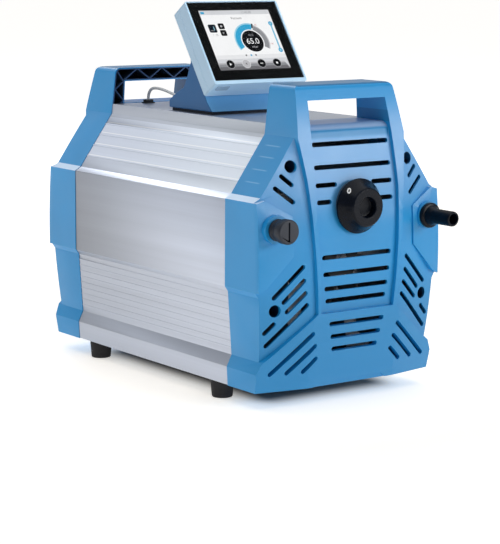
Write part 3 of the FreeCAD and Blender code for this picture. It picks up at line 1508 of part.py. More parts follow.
def connecting_rod(end, side, sign, across, along, throw):
    """Rod with its eye on the eccentric and a plate that carries the clamp disc."""
    label = f"{end}_{side}_rod"
    body = new_body(label)
    low = f"{sign}({along}) - rod_wall / 2"
    high = f"{sign}({along}) + rod_wall / 2"
    y_pad(body, label + "_eye", [(throw, 0, "rod_eye_radius")], low, high)
    root = "rod_eye_radius - 4"
    tip = "rod_reach - 4"
    left, right = (f"{throw} - ({tip})", f"{throw} - ({root})") if across else (
        f"{throw} + {root}", f"{throw} + {tip}")
    arm = body_outline(body, label + "_arm", "XZ",
                       rectangle(left, right, "-rod_arm_half", "rod_arm_half"), y=high, z="axis_height")
    pad(body, arm, "rod_wall")
    plate = body_circles(body, label + "_plate", "YZ", [(f"{sign}({along})", "axis_height", 14)],
                         x=f"{throw} - rod_reach" if across else f"{throw} + {tip}")
    pad(body, plate, 4)
    bore = "eccentric_radius + rod_bearing_wall + rod_gap"
    y_pocket(body, label + "_bore", [(throw, 0, bore)], low, high)
    place(body, label)


def clamp_disc(end, side, sign, across, along, throw):
    """Disc that grips the diaphragm's middle on the rod's plate."""
    label = f"{end}_{side}_clamp_disc"
    body = new_body(label)
    profile = [
        ("rod_reach", 0),
        ("rod_reach", "disc_radius - 2"),
        ("rod_reach + 2", "disc_radius"),
        ("rod_reach + 4", "disc_radius"),
        ("rod_reach + disc_wall", "disc_radius - 6"),
        ("rod_reach + disc_wall", 0),
    ]
    profile = [(f"{across}({x})", radius) for x, radius in profile]
    sketch = new_sketch(label + "_profile", "XZ", throw, f"{sign}({along})", "axis_height", body)
    add_outline(sketch, profile)
    revolve(body, sketch)
    place(body, label)


def pump_head(side, across, along):
    """Front head block with its chamber, gas channels, valve pockets and hose stubs."""
    middle = f"-({along})"
    name = f"{side}_head"

    def along_x(label, radius, near, far, y=middle, z="axis_height"):
        start = f"-({far})" if across else near
        return drum(f"{name}_{label}", "X", radius, f"{far} - ({near})", start, y, z)

    near_face = "flange_face + diaphragm_wall"
    solids = [along_x("block", "head_radius", near_face, "head_outer")]
    cuts = [along_x("chamber", "head_chamber_radius", near_face, f"{near_face} + head_chamber")]
    discs = []
    for index, shift in enumerate(("- port_offset", "+ port_offset")):
        y = f"{middle} {shift}"
        x = f"{across}stub_x"
        solids.append(drum(f"{name}_stub_{index}", "Z", "stub_radius", "stub_top - axis_height - 20",
                           x, y, "axis_height + 20"))
        cuts.append(drum(f"{name}_rise_{index}", "Z", "stub_bore", "stub_top - axis_height", x, y,
                         "axis_height"))
        pocket_at = f"{near_face} + head_chamber + 3"
        cuts.append(along_x(f"channel_{index}", "stub_bore", f"{near_face} + head_chamber - 1", "stub_x", y))
        cuts.append(along_x(f"pocket_{index}", "valve_pocket_radius", pocket_at,
                            f"{pocket_at} + valve_pocket", y))
        discs.append(along_x(f"valve_{index}", "valve_radius", pocket_at, f"{pocket_at} + valve_wall", y))
    for index, (y, z) in enumerate(screw_ring()):
        cuts.append(along_x(f"screw_hole_{index}", "head_screw_radius + 0.05", near_face, "head_outer",
                            f"{middle} + {y}", f"axis_height + {z}"))
    block_solid = combine("Part::MultiFuse", f"{name}_solid", solids)
    head = cut(name, block_solid, combine("Part::MultiFuse", f"{name}_cuts", cuts))
    ring_solid = along_x("diaphragm", "head_radius - 2", "flange_face", near_face)
    ring_cuts = [along_x("diaphragm_hole", "diaphragm_hole", "flange_face", near_face)]
    fasteners = []
    for index, (y, z) in enumerate(screw_ring()):
        spot = (f"{middle} + {y}", f"axis_height + {z}")
        ring_cuts.append(along_x(f"diaphragm_hole_{index}", "head_screw_radius + 0.05",
                                 "flange_face", near_face, *spot))
        shank = along_x(f"shank_{index}", "head_screw_radius", "case_half - 1", "head_outer", *spot)
        top = along_x(f"screw_head_{index}", "head_screw_head_radius", "head_outer",
                      "head_outer + head_screw_head", *spot)
        fasteners.append(combine("Part::MultiFuse", f"{name}_screw_{index}", [shank, top]))
    diaphragm = cut(f"{side}_diaphragm", ring_solid,
                    combine("Part::MultiFuse", f"{side}_diaphragm_cuts", ring_cuts))
    return head, diaphragm, discs, fasteners


for end, sign in ENDS:
    throw = "throw" if end == "front" else "-throw"
    crankcase(end, sign)
    eccentric(end, sign, throw)
    for side, across, along in SIDES:
        connecting_rod(end, side, sign, across, along, throw)
        clamp_disc(end, side, sign, across, along, throw)

rod_rings = []
for end, sign in ENDS:
    throw = "throw" if end == "front" else "-throw"
    for side, across, along in SIDES:
        low, high = f"{sign}({along}) - rod_wall / 2", f"{sign}({along}) + rod_wall / 2"
        rod_rings.append(spun(f"{end}_{side}_rod_bearing", [
            ("eccentric_radius", low), ("eccentric_radius + rod_bearing_wall", low),
            ("eccentric_radius + rod_bearing_wall", high), ("eccentric_radius", high),
        ], throw, 0, "axis_height", Y_AXIS))
place(group("rod_rings", rod_rings), "rod_bearings")

heads = []
diaphragms = []
valve_discs = []
head_screws = []
for side, across, along in SIDES:
    head, diaphragm, discs, fasteners = pump_head(side, across, along)
    heads.append(head)
    diaphragms.append(diaphragm)
    valve_discs.extend(discs)
    head_screws.extend(fasteners)


def front_and_rear(name, solids):
    return group(name, solids + [mirrored(f"{each.Name}_rear", each, Y_AXIS) for each in solids])


place(front_and_rear("head_set", heads), "pump_heads")
place(front_and_rear("diaphragm_set", diaphragms), "diaphragms")
place(front_and_rear("valve_set", valve_discs), "valve_discs")
place(front_and_rear("head_screw_set", head_screws), "head_screws")

buffers = []
for index, (x, y) in enumerate((("60", "-unit_at - 24"), ("60", "-unit_at + 24"),
                                ("-60", "-unit_at - 24"), ("-60", "-unit_at + 24"))):
    buffers.append(drum(f"buffer_{index}", "Z", "buffer_radius", "buffer_height", x, y, BASE_TOP))
place(front_and_rear("buffer_set", buffers), "crankcase_buffers")


# Fans on the shaft's ends
def fan(end, sign):
    body = new_body(f"{end}_fan")
    low, high = ordered(sign, "fan_at - fan_depth", "fan_at")
    hub = y_pad(body, f"{end}_fan_hub", [(0, 0, "fan_hub_radius"), (0, 0, "shaft_radius")], low, high)
    blade = body_outline(body, f"{end}_fan_blade", "XY", [
        (-9, f"{low} + 0.5"), (-6.5, f"{low} + 0.5"), (9, f"{high} - 0.5"), (6.5, f"{high} - 0.5"),
    ], z="axis_height + fan_hub_radius - 2")
    vane = pad(body, blade, "fan_radius - fan_hub_radius + 2")
    around(body, vane, hub.Profile[0], int(SIZES["fan_blades"]))
    place(body, f"{end}_fan")


for end, sign in ENDS:
    fan(end, sign)

# Hoses between the ports and the heads, and from head to head
SIDE_PORT_FRONT = ("stub_x", "-unit_at + unit_stagger - port_offset")
HOSES = (
    [("port_x", "-port_shank_end", "port_height"), ("port_x", "-port_shank_end + 16", "port_height"),
     ("stub_x + 19", "-unit_at - 28", "hose_rise"), (SIDE_PORT_FRONT[0], SIDE_PORT_FRONT[1], "hose_rise"),
     (SIDE_PORT_FRONT[0], SIDE_PORT_FRONT[1], "stub_top")],
    [("stub_x", "-unit_at + unit_stagger + port_offset", "stub_top"),
     ("stub_x", "-unit_at + unit_stagger + port_offset", "hose_rise"),
     ("stub_x", "unit_at - unit_stagger - port_offset", "hose_rise"),
     ("stub_x", "unit_at - unit_stagger - port_offset", "stub_top")],
    [("stub_x", "unit_at - unit_stagger + port_offset", "stub_top"),
     ("stub_x", "unit_at - unit_stagger + port_offset", "hose_rise"),
     ("-stub_x", "unit_at + unit_stagger + port_offset", "hose_rise"),
     ("-stub_x", "unit_at + unit_stagger + port_offset", "stub_top")],
    [("-stub_x", "unit_at + unit_stagger - port_offset", "stub_top"),
     ("-stub_x", "unit_at + unit_stagger - port_offset", "hose_rise"),
     ("-stub_x", "-unit_at - unit_stagger + port_offset", "hose_rise"),
     ("-stub_x", "-unit_at - unit_stagger + port_offset", "stub_top")],
    [("-stub_x", "-unit_at - unit_stagger - port_offset", "stub_top"),
     ("-stub_x", "-unit_at - unit_stagger - port_offset", "hose_rise"),
     ("-stub_x - 16", "-unit_at - unit_stagger - port_offset - 17", "hose_rise - 2"),
     ("-port_x", "-port_shank_end + 16", "port_height"),
     ("-port_x", "-port_shank_end", "port_height")],
)
hose_solids = []
for points in HOSES:
    spots = [Vector(value(x), value(y), value(z)) for x, y, z in points]
    outer = tube(spots, value("hose_radius"))[0]
    hose_solids.append(outer.cut(tube(spots, value("stub_bore"))[0]))
hoses = doc.addObject("Part::Feature", "GasHoses")
hoses.Shape = Part.makeCompound(hose_solids)
place(hoses, "gas_hoses")

# Drive electronics on the base plate
electronics = new_body("drive_electronics")
pad(electronics, body_outline(electronics, "electronics_floor", "XY",
                              rectangle("-box_half", "box_half", "-box_reach", "box_reach"), z=BASE_TOP),
    "box_height - fin_height")
pocket(electronics, body_outline(electronics, "electronics_room", "XY", rectangle(
    "-box_half + box_wall", "box_half - box_wall", "-box_reach + box_wall", "box_reach - box_wall"),
    z=f"{BASE_TOP} + box_height - fin_height - box_wall"), "box_height - fin_height - box_wall")
FIN_COUNT = 9
for index in range(FIN_COUNT):
    x = f"-box_half + {index} * (2 * box_half - fin_wall) / {FIN_COUNT - 1}"
    rib = body_outline(electronics, f"electronics_fin_{index}", "XY",
                       rectangle(x, f"{x} + fin_wall", "-box_reach", "box_reach"),
                       z=f"{BASE_TOP} + box_height - fin_height")
    pad(electronics, rib, "fin_height")
place(electronics, "drive_electronics")

# Mains module in the rear cover: inlet and rocker switch
mains = new_body("mains_module")
MAINS_FACE = "mains_seat + mains_flange"
flange = body_outline(mains, "mains_flange_edge", "XZ",
                      rectangle("-mains_half", "mains_half", "-mains_half_height", "mains_half_height"),
                      y=MAINS_FACE, z="mains_height")
pad(mains, flange, "mains_flange")
soften(mains, 3, lambda edge: runs_along(edge, Y_AXIS))
inner = body_outline(mains, "mains_body_edge", "XZ",
                     rectangle("-mains_body_half", "mains_body_half", "-mains_body_half_height",
                               "mains_body_half_height"), y="mains_seat", z="mains_height")
pad(mains, inner, "mains_seat - mains_body_end")
bevel = "4"
inlet = body_outline(mains, "inlet_edge", "XZ", [
    ("inlet_x - inlet_half", "-inlet_half_height"),
    ("inlet_x + inlet_half", "-inlet_half_height"),
    ("inlet_x + inlet_half", f"inlet_half_height - {bevel}"),
    (f"inlet_x + inlet_half - {bevel}", "inlet_half_height"),
    (f"inlet_x - inlet_half + {bevel}", "inlet_half_height"),
    ("inlet_x - inlet_half", f"inlet_half_height - {bevel}"),
], y=f"{MAINS_FACE} - inlet_depth", z="mains_height")
pocket(mains, inlet, "inlet_depth")
rocker_hole = body_outline(mains, "rocker_hole", "XZ", rectangle(
    "rocker_x - rocker_half - rocker_gap", "rocker_x + rocker_half + rocker_gap",
    "-rocker_half_height", "rocker_half_height"), y=f"{MAINS_FACE} - rocker_bed", z="mains_height")
pocket(mains, rocker_hole, "rocker_bed")
pivot_bore = body_circles(mains, "pivot_bore", "YZ", [(f"{MAINS_FACE} - rocker_pivot", 0, "pivot_radius + 0.05")],
                          x="rocker_x", z="mains_height")
pocket(mains, pivot_bore, "2 * (rocker_half + pivot_reach + 0.2)", middle=True)
for index, (x, z) in enumerate((("inlet_x - 7", 0), ("inlet_x + 7", 0), ("inlet_x", 3))):
    pin = body_outline(mains, f"inlet_pin_{index}", "XZ",
                       rectangle(f"{x} - 1", f"{x} + 1", f"{z} - 2.2", f"{z} + 2.2"),
                       y=f"{MAINS_FACE} - 3", z="mains_height")
    pad(mains, pin, "inlet_depth - 3")
place(mains, "mains_module")

rocker = new_body("mains_rocker")
pad(rocker, body_outline(rocker, "rocker_side", "YZ", [
    (f"{MAINS_FACE} + 0.3", -8.2),
    (f"{MAINS_FACE} + 0.3", 0),
    (f"{MAINS_FACE} + 2.65", 8.2),
    (f"{MAINS_FACE} - 4", 7.5),
    (f"{MAINS_FACE} - 8", 3),
    (f"{MAINS_FACE} - 8", -3),
    (f"{MAINS_FACE} - 4", -7.5),
], x="rocker_x - rocker_half", z="mains_height"), "2 * rocker_half")
pivot = body_circles(rocker, "rocker_pivot_pin", "YZ", [(f"{MAINS_FACE} - rocker_pivot", 0, "pivot_radius")],
                     x="rocker_x", z="mains_height")
pad(rocker, pivot, "2 * (rocker_half + pivot_reach)", middle=True)
place(rocker, "mains_rocker")

# Check every object and write one file for each sub-part
doc.recompute()
for each in doc.Objects:
    if "Invalid" in each.State or "Error" in each.State:
        raise RuntimeError(f"{each.Name} failed: {each.State} {each.getStatusString()}")
for node in NODES:
    if node.Shape.isNull() or not node.Shape.isValid() or not node.Shape.Solids:
        raise RuntimeError(f"{node.Label} has no sound shape")
os.makedirs("parts", exist_ok=True)
box = FreeCAD.BoundBox()
for node in NODES:
    node.Shape.exportStep(os.path.join("parts", node.Label + ".step"))
    box.add(node.Shape.BoundBox)
print(f"{len(NODES)} sub-parts, box {box}")
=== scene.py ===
import json
import math

import bmesh
import bpy
from bpy.props import FloatProperty, FloatVectorProperty, PointerProperty, StringProperty
from mathutils import Matrix, Vector

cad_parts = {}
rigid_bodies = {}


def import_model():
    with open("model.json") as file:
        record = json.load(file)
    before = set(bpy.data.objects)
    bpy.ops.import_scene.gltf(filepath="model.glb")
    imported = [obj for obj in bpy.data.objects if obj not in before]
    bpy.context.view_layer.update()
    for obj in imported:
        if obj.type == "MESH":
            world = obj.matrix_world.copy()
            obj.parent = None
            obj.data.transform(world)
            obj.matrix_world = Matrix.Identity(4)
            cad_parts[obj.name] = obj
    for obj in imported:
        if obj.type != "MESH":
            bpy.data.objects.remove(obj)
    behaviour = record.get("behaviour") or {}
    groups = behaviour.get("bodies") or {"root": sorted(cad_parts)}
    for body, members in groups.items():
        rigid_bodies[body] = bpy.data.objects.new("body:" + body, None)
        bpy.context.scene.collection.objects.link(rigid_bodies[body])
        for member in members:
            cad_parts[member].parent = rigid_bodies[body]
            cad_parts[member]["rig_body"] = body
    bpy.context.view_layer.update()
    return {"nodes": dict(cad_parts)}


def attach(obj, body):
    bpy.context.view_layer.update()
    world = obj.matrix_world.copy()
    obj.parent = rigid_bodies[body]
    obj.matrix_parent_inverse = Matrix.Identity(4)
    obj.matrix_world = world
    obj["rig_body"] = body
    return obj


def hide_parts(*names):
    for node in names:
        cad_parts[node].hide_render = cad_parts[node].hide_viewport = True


bl_info = {
    "name": "Diaphragm Pump Looks",
    "version": (1, 0, 0),
    "blender": (4, 5, 0),
    "location": "3D View > Sidebar > Pump",
    "description": "Finishes and fine detail for a bench diaphragm vacuum pump",
    "category": "Object",
}

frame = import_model()
NODES = frame["nodes"]
MM = 0.001
Y_AXIS = Vector((0, 1, 0))
Z_AXIS = Vector((0, 0, 1))

# Points of a mesh that are nearer than this are one point
TOUCHING = 1e-6

# The part stands on its feet and its outline is centred along Y
LIFT = 20 * MM
SHIFT = 17 * MM


def spot(x, y, z):
    """A point given in millimetres about the middle of the case, as the solids were drawn."""
    return Vector((x * MM, y * MM + SHIFT, z * MM + LIFT))


# The places below, where the finishes' painted light and shade change, are in millimetres about the middle of
# the case.
# Outline of the grips' hollows, midway through their walls, and where their legs and top faces begin
GRIP_FOOT = 284.0
GRIP_OUTER = 74.9
GRIP_TAPER = (69.4 - 76.0) / (339.7 - 283.0)
GRIP_INNER = 58.9
OPENING_TAPER = (55.4 - 57.7) / (322.7 - 283.0)
GRIP_TOP = 338.5
GRIP_BEAM = 323.9
GRIP_LEG = 57.0
GRIP_CROWN = 330.0

# Rounded top corners of the grips: centre across, height of the centre, radius midway through the wall
CORNER_ACROSS = 62.7
CORNER_HEIGHT = 332.2
CORNER_RADIUS = 6.3

# Heights over which the covers' pale sheen, a painted highlight, comes and goes, and over which the painted
# shade of their foot ends
SHEEN_START = (175.0, 245.0)
SHEEN_END = (277.0, 284.0)
LEG_SHEEN_END = (285.0, 330.0)
FOOT_END = (70.0, 140.0)

# The brow is the band of painted shade over the front panel, between the legs of its grip
BROW_START = (279.0, 283.0)
BROW_END = 308.0

# Painted highlights on the ledge over the belt and on the short moulding lines of the upper flank over it,
# which end along Y
LEDGE_HEIGHTS = (213.0, 220.0)
LEDGE_ACROSS = 119.0
FLANK_FOOT = 219.0
FLANK_LINES = (233.1, 246.5, 260.0, 272.1)
LINES_START = (-206.0, -198.0)
LINES_END = (-182.0, -172.0)

# Shell of the covers: how far out along Y its face lies at the middle, how much further the apron does,
# how wings and bulge fall back, the wall's thickness, the side walls with their slanted shoulders, and
# the heights between which the space inside gets painted shade
FACE_OUT = 234.0
APRON_OUT = 2.0
APRON_TOP = (85.0, 95.0)
WING_ACROSS = 75.0
WING_FALL = 0.245
BULGE_HEIGHT = 137.0
BULGE_SPREAD = 1280.0
SHELL_WALL = 3.6
SIDE_OUT = 115.0
SHOULDER_HEIGHT = 215.0
SHOULDER_FALL = 0.716
INSIDE_HEIGHTS = (4.0, 282.0)

# Screw wells of the covers: half spacing, height and depth along Y where their shade begins
WELL_PLACES = ((83.8, 251.9, 221.0), (106.4, 93.0, 223.5))
WELL_RADIUS = 7.3

# Side panels: the belt, the top of the undercut waist over the feet, and the strip of painted shade at the
# top, in millimetres, and the two places along Y, in metres, between which their painted light and shade
# changes
BELT_HEIGHTS = (114.0, 214.0)
WAIST_TOP = 60.0
STRIP_FOOT = 279.0
PANEL_RUN = (-0.16, 0.24)


# Shader maths
class Signal:
    """A shader socket that can be used in Python expressions with numbers and other signals."""

    def __init__(self, maker, socket):
        self.maker = maker
        self.socket = socket

    def maths(self, operation, *inputs, clamp=False):
        node = self.maker.node("ShaderNodeMath", {"operation": operation, "use_clamp": clamp},
                               dict(enumerate(inputs)))
        return Signal(self.maker, node.outputs[0])

    def __add__(self, other):
        return self.maths("ADD", self, other)

    def __sub__(self, other):
        return self.maths("SUBTRACT", self, other)

    def __mul__(self, other):
        return self.maths("MULTIPLY", self, other)

    def __truediv__(self, other):
        return self.maths("DIVIDE", self, other)

    def __rsub__(self, other):
        return self.maths("SUBTRACT", other, self)

    def __neg__(self):
        return self.maths("SUBTRACT", 0.0, self)

    def __pow__(self, other):
        return self.maths("POWER", self, other)

    __radd__ = __add__
    __rmul__ = __mul__

    def clamped(self):
        return self.maths("ADD", self, 0.0, clamp=True)

    def above(self, level):
        return self.maths("GREATER_THAN", self, level)

    def below(self, level):
        return self.maths("LESS_THAN", self, level)

    def inside(self, low, high):
        """1 between low and high, and 0 elsewhere."""
        return self.above(low) * self.below(high)

    def past(self, level):
        """How far it is above level, and 0 below it."""
        return self.maths("MAXIMUM", self - level, 0.0)

    def wave(self):
        return self.maths("SINE", self)

    def size(self):
        return self.maths("ABSOLUTE", self)

    def fraction(self):
        return self.maths("FRACT", self)

    def ease(self, low, high):
        """0 below low and 1 above high, with a smooth rise between them."""
        node = self.maker.node("ShaderNodeMapRange", {"interpolation_type": "SMOOTHSTEP"},
                               {"Value": self, "From Min": low, "From Max": high})
        return Signal(self.maker, node.outputs[0])

    def fade(self, low, high):
        """1 below low and 0 above high, with a smooth fall between them."""
        return 1.0 - self.ease(low, high)


def distance(first, second):
    """How far a place is from a point, from how far it is off in two directions."""
    return (first ** 2.0 + second ** 2.0) ** 0.5


class Finish:
    """Builds one material from expressions. Its tone is the colour painted so far."""

    def __init__(self, name):
        self.material = bpy.data.materials.new(name)
        self.material.use_nodes = True
        self.tree = self.material.node_tree
        self.tree.nodes.clear()
        self.place = Signal(self, self.node("ShaderNodeTexCoord", {}, {}).outputs["Object"])
        self.tone = None

    def node(self, kind, settings, inputs):
        made = self.tree.nodes.new(kind)
        for key, setting in settings.items():
            setattr(made, key, setting)
        for key, source in inputs.items():
            if isinstance(source, Signal):
                self.tree.links.new(source.socket, made.inputs[key])
            else:
                made.inputs[key].default_value = source
        return made

    def stretched(self, size, centre=(0, 0, 0)):
        """Coordinates about centre that run once per size, given in metres for all axes or for each."""
        sizes = (size, size, size) if isinstance(size, float) else size
        moved = self.node("ShaderNodeMapping", {"vector_type": "TEXTURE"},
                          {"Vector": self.place, "Location": centre})
        spread = self.node("ShaderNodeVectorMath", {"operation": "MULTIPLY"},
                           {0: Signal(self, moved.outputs[0]), 1: tuple(1 / each for each in sizes)})
        return Signal(self, spread.outputs[0])

    def noise(self, size, detail=3.0, roughness=0.55):
        node = self.node("ShaderNodeTexNoise", {},
                         {"Vector": self.stretched(size), "Scale": 1.0, "Detail": detail,
                          "Roughness": roughness})
        return Signal(self, node.outputs[0])

    def grains(self, size, smooth=False):
        """Distance to the nearest of evenly scattered points, each size apart."""
        node = self.node("ShaderNodeTexVoronoi", {"feature": "SMOOTH_F1" if smooth else "F1"},
                         {"Vector": self.stretched(size), "Scale": 1.0})
        return Signal(self, node.outputs["Distance"])

    def rings(self, pitch, centre, distortion, detail_scale=1.0):
        """Fine rings about an axis along Y through centre."""
        node = self.node("ShaderNodeTexWave", {"wave_type": "RINGS", "rings_direction": "Y"},
                         {"Vector": self.stretched(pitch, centre), "Scale": 1.0,
                          "Distortion": distortion, "Detail": 2.0, "Detail Scale": detail_scale})
        return Signal(self, node.outputs[1])

    def axis(self, letter):
        """One coordinate of the place on the object, in metres."""
        split = self.node("ShaderNodeSeparateXYZ", {}, {0: self.place})
        return Signal(self, split.outputs["XYZ".index(letter)])

    def facing(self, letter):
        """One part of the surface's own direction, from -1 to 1."""
        geometry = self.node("ShaderNodeNewGeometry", {}, {})
        split = self.node("ShaderNodeSeparateXYZ", {}, {0: Signal(self, geometry.outputs["Normal"])})
        return Signal(self, split.outputs["XYZ".index(letter)])

    def between(self, share, low, high):
        """Mixes two colours, each a colour or a signal."""
        low, high = (each if isinstance(each, Signal) else opaque(each) for each in (low, high))
        node = self.node("ShaderNodeMix", {"data_type": "RGBA"}, {0: share, 6: low, 7: high})
        return Signal(self, node.outputs[2])

    def vary(self, share, colour, low, high):
        """Starts the tone with one colour, from low to high times as bright."""
        self.tone = self.between(share, shaded(colour, low), shaded(colour, high))

    def paint(self, share, colour):
        """Covers a share of the tone with a colour."""
        self.tone = self.between(share, self.tone, colour)

    def bump(self, height, depth, strength, onto=None):
        """Raises the surface by depth metres where height is 1."""
        inputs = {"Height": height, "Distance": depth, "Strength": strength}
        if onto is not None:
            inputs["Normal"] = onto
        node = self.node("ShaderNodeBump", {}, inputs)
        return Signal(self, node.outputs[0])

    def surface(self, rough, **inputs):
        """Ends the material in one Principled shader. Keys are its other sockets, with _ for a space."""
        sockets = {"Base Color": self.tone, "Roughness": rough.clamped()}
        sockets.update((key.replace("_", " "), value) for key, value in inputs.items())
        shader = self.node("ShaderNodeBsdfPrincipled", {}, sockets)
        self.node("ShaderNodeOutputMaterial", {}, {0: Signal(self, shader.outputs[0])})
        return self.material


def opaque(colour):
    return (*colour[:3], 1.0)


def linear(*channels):
    """A colour read off a screen in steps of 255, as the light that a shader works in."""
    shares = (channel / 255 for channel in channels)
    return tuple(share / 12.92 if share <= 0.04045 else ((share + 0.055) / 1.055) ** 2.4 for share in shares)


def shaded(colour, factor):
    return tuple(min(1.0, channel * factor) for channel in colour[:3])


# Finishes
def flow_clouds(finish, colour):
    """Starts moulded plastic with faint flow clouds and pale handling marks, and gives back the marks."""
    cloud = finish.noise(0.11, 2.0)
    marks = finish.noise(0.018, 4.0)
    finish.vary(cloud.ease(0.3, 0.7), colour, 0.95, 1.05)
    finish.paint(marks.ease(0.62, 0.8) * 0.1, shaded(colour, 1.25))
    return marks


def spark_grain(finish, marks, roughness, grain=0.0007, depth=0.00003):
    """The roughness and the normal of moulded plastic: a spark eroded grain over long slight waves."""
    texture = finish.noise(grain, 2.0)
    normal = finish.bump(texture, depth, 0.6)
    normal = finish.bump(finish.noise(0.05, 1.0), 0.0003, 0.35, normal)
    return (marks - 0.5) * 0.12 + (texture - 0.5) * 0.1 + roughness, normal


def moulded_plastic(name, colour, roughness=0.42, grain=0.0007, depth=0.00003, front=None, flank=None,
                    specular=0.5):
    """Injection moulded plastic: a fine spark eroded grain, faint flow clouds and handling marks.

    front and flank are colours painted on the faces that look forward and to the sides, as painted light and
    shade.
    """
    finish = Finish(name)
    marks = flow_clouds(finish, colour)
    # Painted light and shade by facing: the front colour on forward faces, the flank colour on side faces
    if front:
        finish.paint((-finish.facing("Y")).ease(0.3, 0.7), front)
    if flank:
        finish.paint(finish.facing("X").size().ease(0.5, 0.9), flank)
    rough, normal = spark_grain(finish, marks, roughness, grain, depth)
    return finish.surface(rough, Normal=normal, IOR=1.5, Specular_IOR_Level=specular)


class CoverFinish(Finish):
    """The covers' plastic, whose painted light and shade depend on the place in millimetres and on the
    facing.
    """

    def __init__(self, name, colour):
        super().__init__(name)
        self.colour = colour
        self.sideways = self.axis("X") / MM
        self.across = self.sideways.size()
        self.along = (self.axis("Y") - SHIFT) / MM
        self.height = (self.axis("Z") - LIFT) / MM
        self.outward = self.facing("Y") * self.along / self.along.size()
        self.upward = self.facing("Z")
        self.leg = self.across.above(GRIP_LEG)

    def shade_faces(self):
        """Paints shade on the grips' top faces, the outer faces and their foot, and a pale sheen, a painted
        highlight, on the upper front.
        """
        self.paint(self.upward.ease(0.7, 0.95) * self.height.above(GRIP_CROWN), shaded(self.colour, 0.55))
        self.paint(self.outward.ease(0.6, 0.9), shaded(self.colour, 0.86))
        self.paint(self.outward.ease(0.3, 0.6) * self.height.fade(*FOOT_END), shaded(self.colour, 0.72))
        ending = self.height.fade(*SHEEN_END) * (1.0 - self.leg) + self.height.fade(*LEG_SHEEN_END) * self.leg
        sheen = self.facing("X").size().fade(0.5, 0.8) * self.height.ease(*SHEEN_START) * ending
        self.paint(sheen * 0.17, linear(206, 214, 236))

    def shade_grips(self):
        """Paints shade on the front grip's brow, with a painted highlight on its upper strip, and on the rear
        grip's inner leg faces.
        """
        brow = (1.0 - self.leg) * self.height.ease(*BROW_START) * self.height.below(BROW_END)
        brow = brow * self.along.below(0.0)
        self.paint(brow * 0.6, shaded(self.colour, 0.55))
        self.paint(brow * self.upward.ease(0.4, 0.65) * 0.5, linear(176, 188, 214))
        inward = (-self.facing("X") * self.sideways / self.across).above(0.6)
        self.paint(inward * self.height.above(GRIP_FOOT) * self.along.above(0.0), shaded(self.colour, 0.4))

    def light_ledges(self):
        """Paints highlights on the ledge over the belt and along the short moulding lines on the front
        cover's upper flank.
        """
        ledge = self.upward.above(0.7) * self.height.inside(*LEDGE_HEIGHTS) * self.across.above(LEDGE_ACROSS)
        self.paint(ledge * 0.75, linear(196, 220, 244))
        flank = self.height.above(FLANK_FOOT) * self.upward.inside(0.35, 0.8)
        stretch = self.along.ease(*LINES_START) * self.along.fade(*LINES_END) * flank
        for level in FLANK_LINES:
            line = (self.height - level).size().fade(0.3, 0.9)
            self.paint(line * stretch * 0.4, linear(150, 208, 244))

    def darken_inside(self):
        """Paints shade on all that lies inside the shell, which shows through the slots."""
        plan = self.height.fade(*APRON_TOP) * APRON_OUT + FACE_OUT - self.across.past(WING_ACROSS) * WING_FALL
        bulge = (self.height - BULGE_HEIGHT) ** 2.0 / BULGE_SPREAD
        side = SIDE_OUT - self.height.past(SHOULDER_HEIGHT) * SHOULDER_FALL
        within = self.along.size().below(plan - bulge - SHELL_WALL) * self.across.below(side)
        self.paint(within * self.height.inside(*INSIDE_HEIGHTS) * 0.9, linear(8, 22, 42))

    def shade_hollows(self):
        """Paints shade into the grips' open hollows, darkest on faces that look back, and gives back where
        that is.
        """
        outer = (self.height - GRIP_FOOT) * GRIP_TAPER + GRIP_OUTER
        inner = (self.height - GRIP_FOOT) * OPENING_TAPER + GRIP_INNER
        within = self.across.below(outer) * self.height.inside(GRIP_FOOT, GRIP_TOP)
        opening = self.across.below(inner) * self.height.below(GRIP_BEAM)
        corner = distance(self.across - CORNER_ACROSS, self.height - CORNER_HEIGHT)
        cornered = self.across.above(CORNER_ACROSS) * self.height.above(CORNER_HEIGHT)
        within = within * (1.0 - cornered * corner.above(CORNER_RADIUS))
        hollow = within * (1.0 - opening) * self.outward.below(0.6)
        hollow_shade = self.between(self.outward.below(-0.6), linear(8, 16, 28), linear(38, 62, 104))
        self.paint(hollow * 0.95, hollow_shade)
        return hollow

    def shade_wells(self):
        """Paints shade on the floors of the screw wells."""
        for half, level, depth in WELL_PLACES:
            aside = distance(self.across - half, self.height - level)
            well = aside.below(WELL_RADIUS) * self.along.size().below(depth)
            self.paint(well * 0.8, linear(10, 26, 52))


def cover_moulding(name, colour, roughness):
    """The covers' plastic, with painted light and shade on their faces, grips, ledges, inside and wells."""
    finish = CoverFinish(name, colour)
    marks = flow_clouds(finish, colour)
    finish.shade_faces()
    finish.shade_grips()
    finish.light_ledges()
    finish.darken_inside()
    hollow = finish.shade_hollows()
    finish.shade_wells()
    rough, normal = spark_grain(finish, marks, hollow * 0.3 + roughness)
    return finish.surface(rough, Normal=normal, Specular_IOR_Level=0.5)


def gloss_plastic(name, colour, roughness, dust=0.25):
    """Dark turned or moulded plastic with a soft shine and dust in its fine grain."""
    finish = Finish(name)
    smudge = finish.noise(0.012, 4.0)
    fine = finish.noise(0.0009, 3.0)
    finish.vary(smudge.ease(0.45, 0.75) * dust, colour, 1.0, 2.6)
    rough = (smudge - 0.4) * 0.25 + (fine - 0.5) * 0.08 + roughness
    return finish.surface(rough, Normal=finish.bump(fine, 0.00002, 0.4), Specular_IOR_Level=0.16)


def soft_rubber(name, colour, roughness=0.75):
    """Matt rubber with a chalky bloom and a pebbled skin."""
    finish = Finish(name)
    bloom = finish.noise(0.01, 5.0)
    pebble = finish.grains(0.0011, smooth=True)
    finish.vary(bloom.ease(0.4, 0.8) * 0.35, colour, 1.0, 2.2)
    return finish.surface((bloom - 0.5) * 0.2 + roughness, Normal=finish.bump(pebble, 0.00006, 0.7),
                          Specular_IOR_Level=0.35)


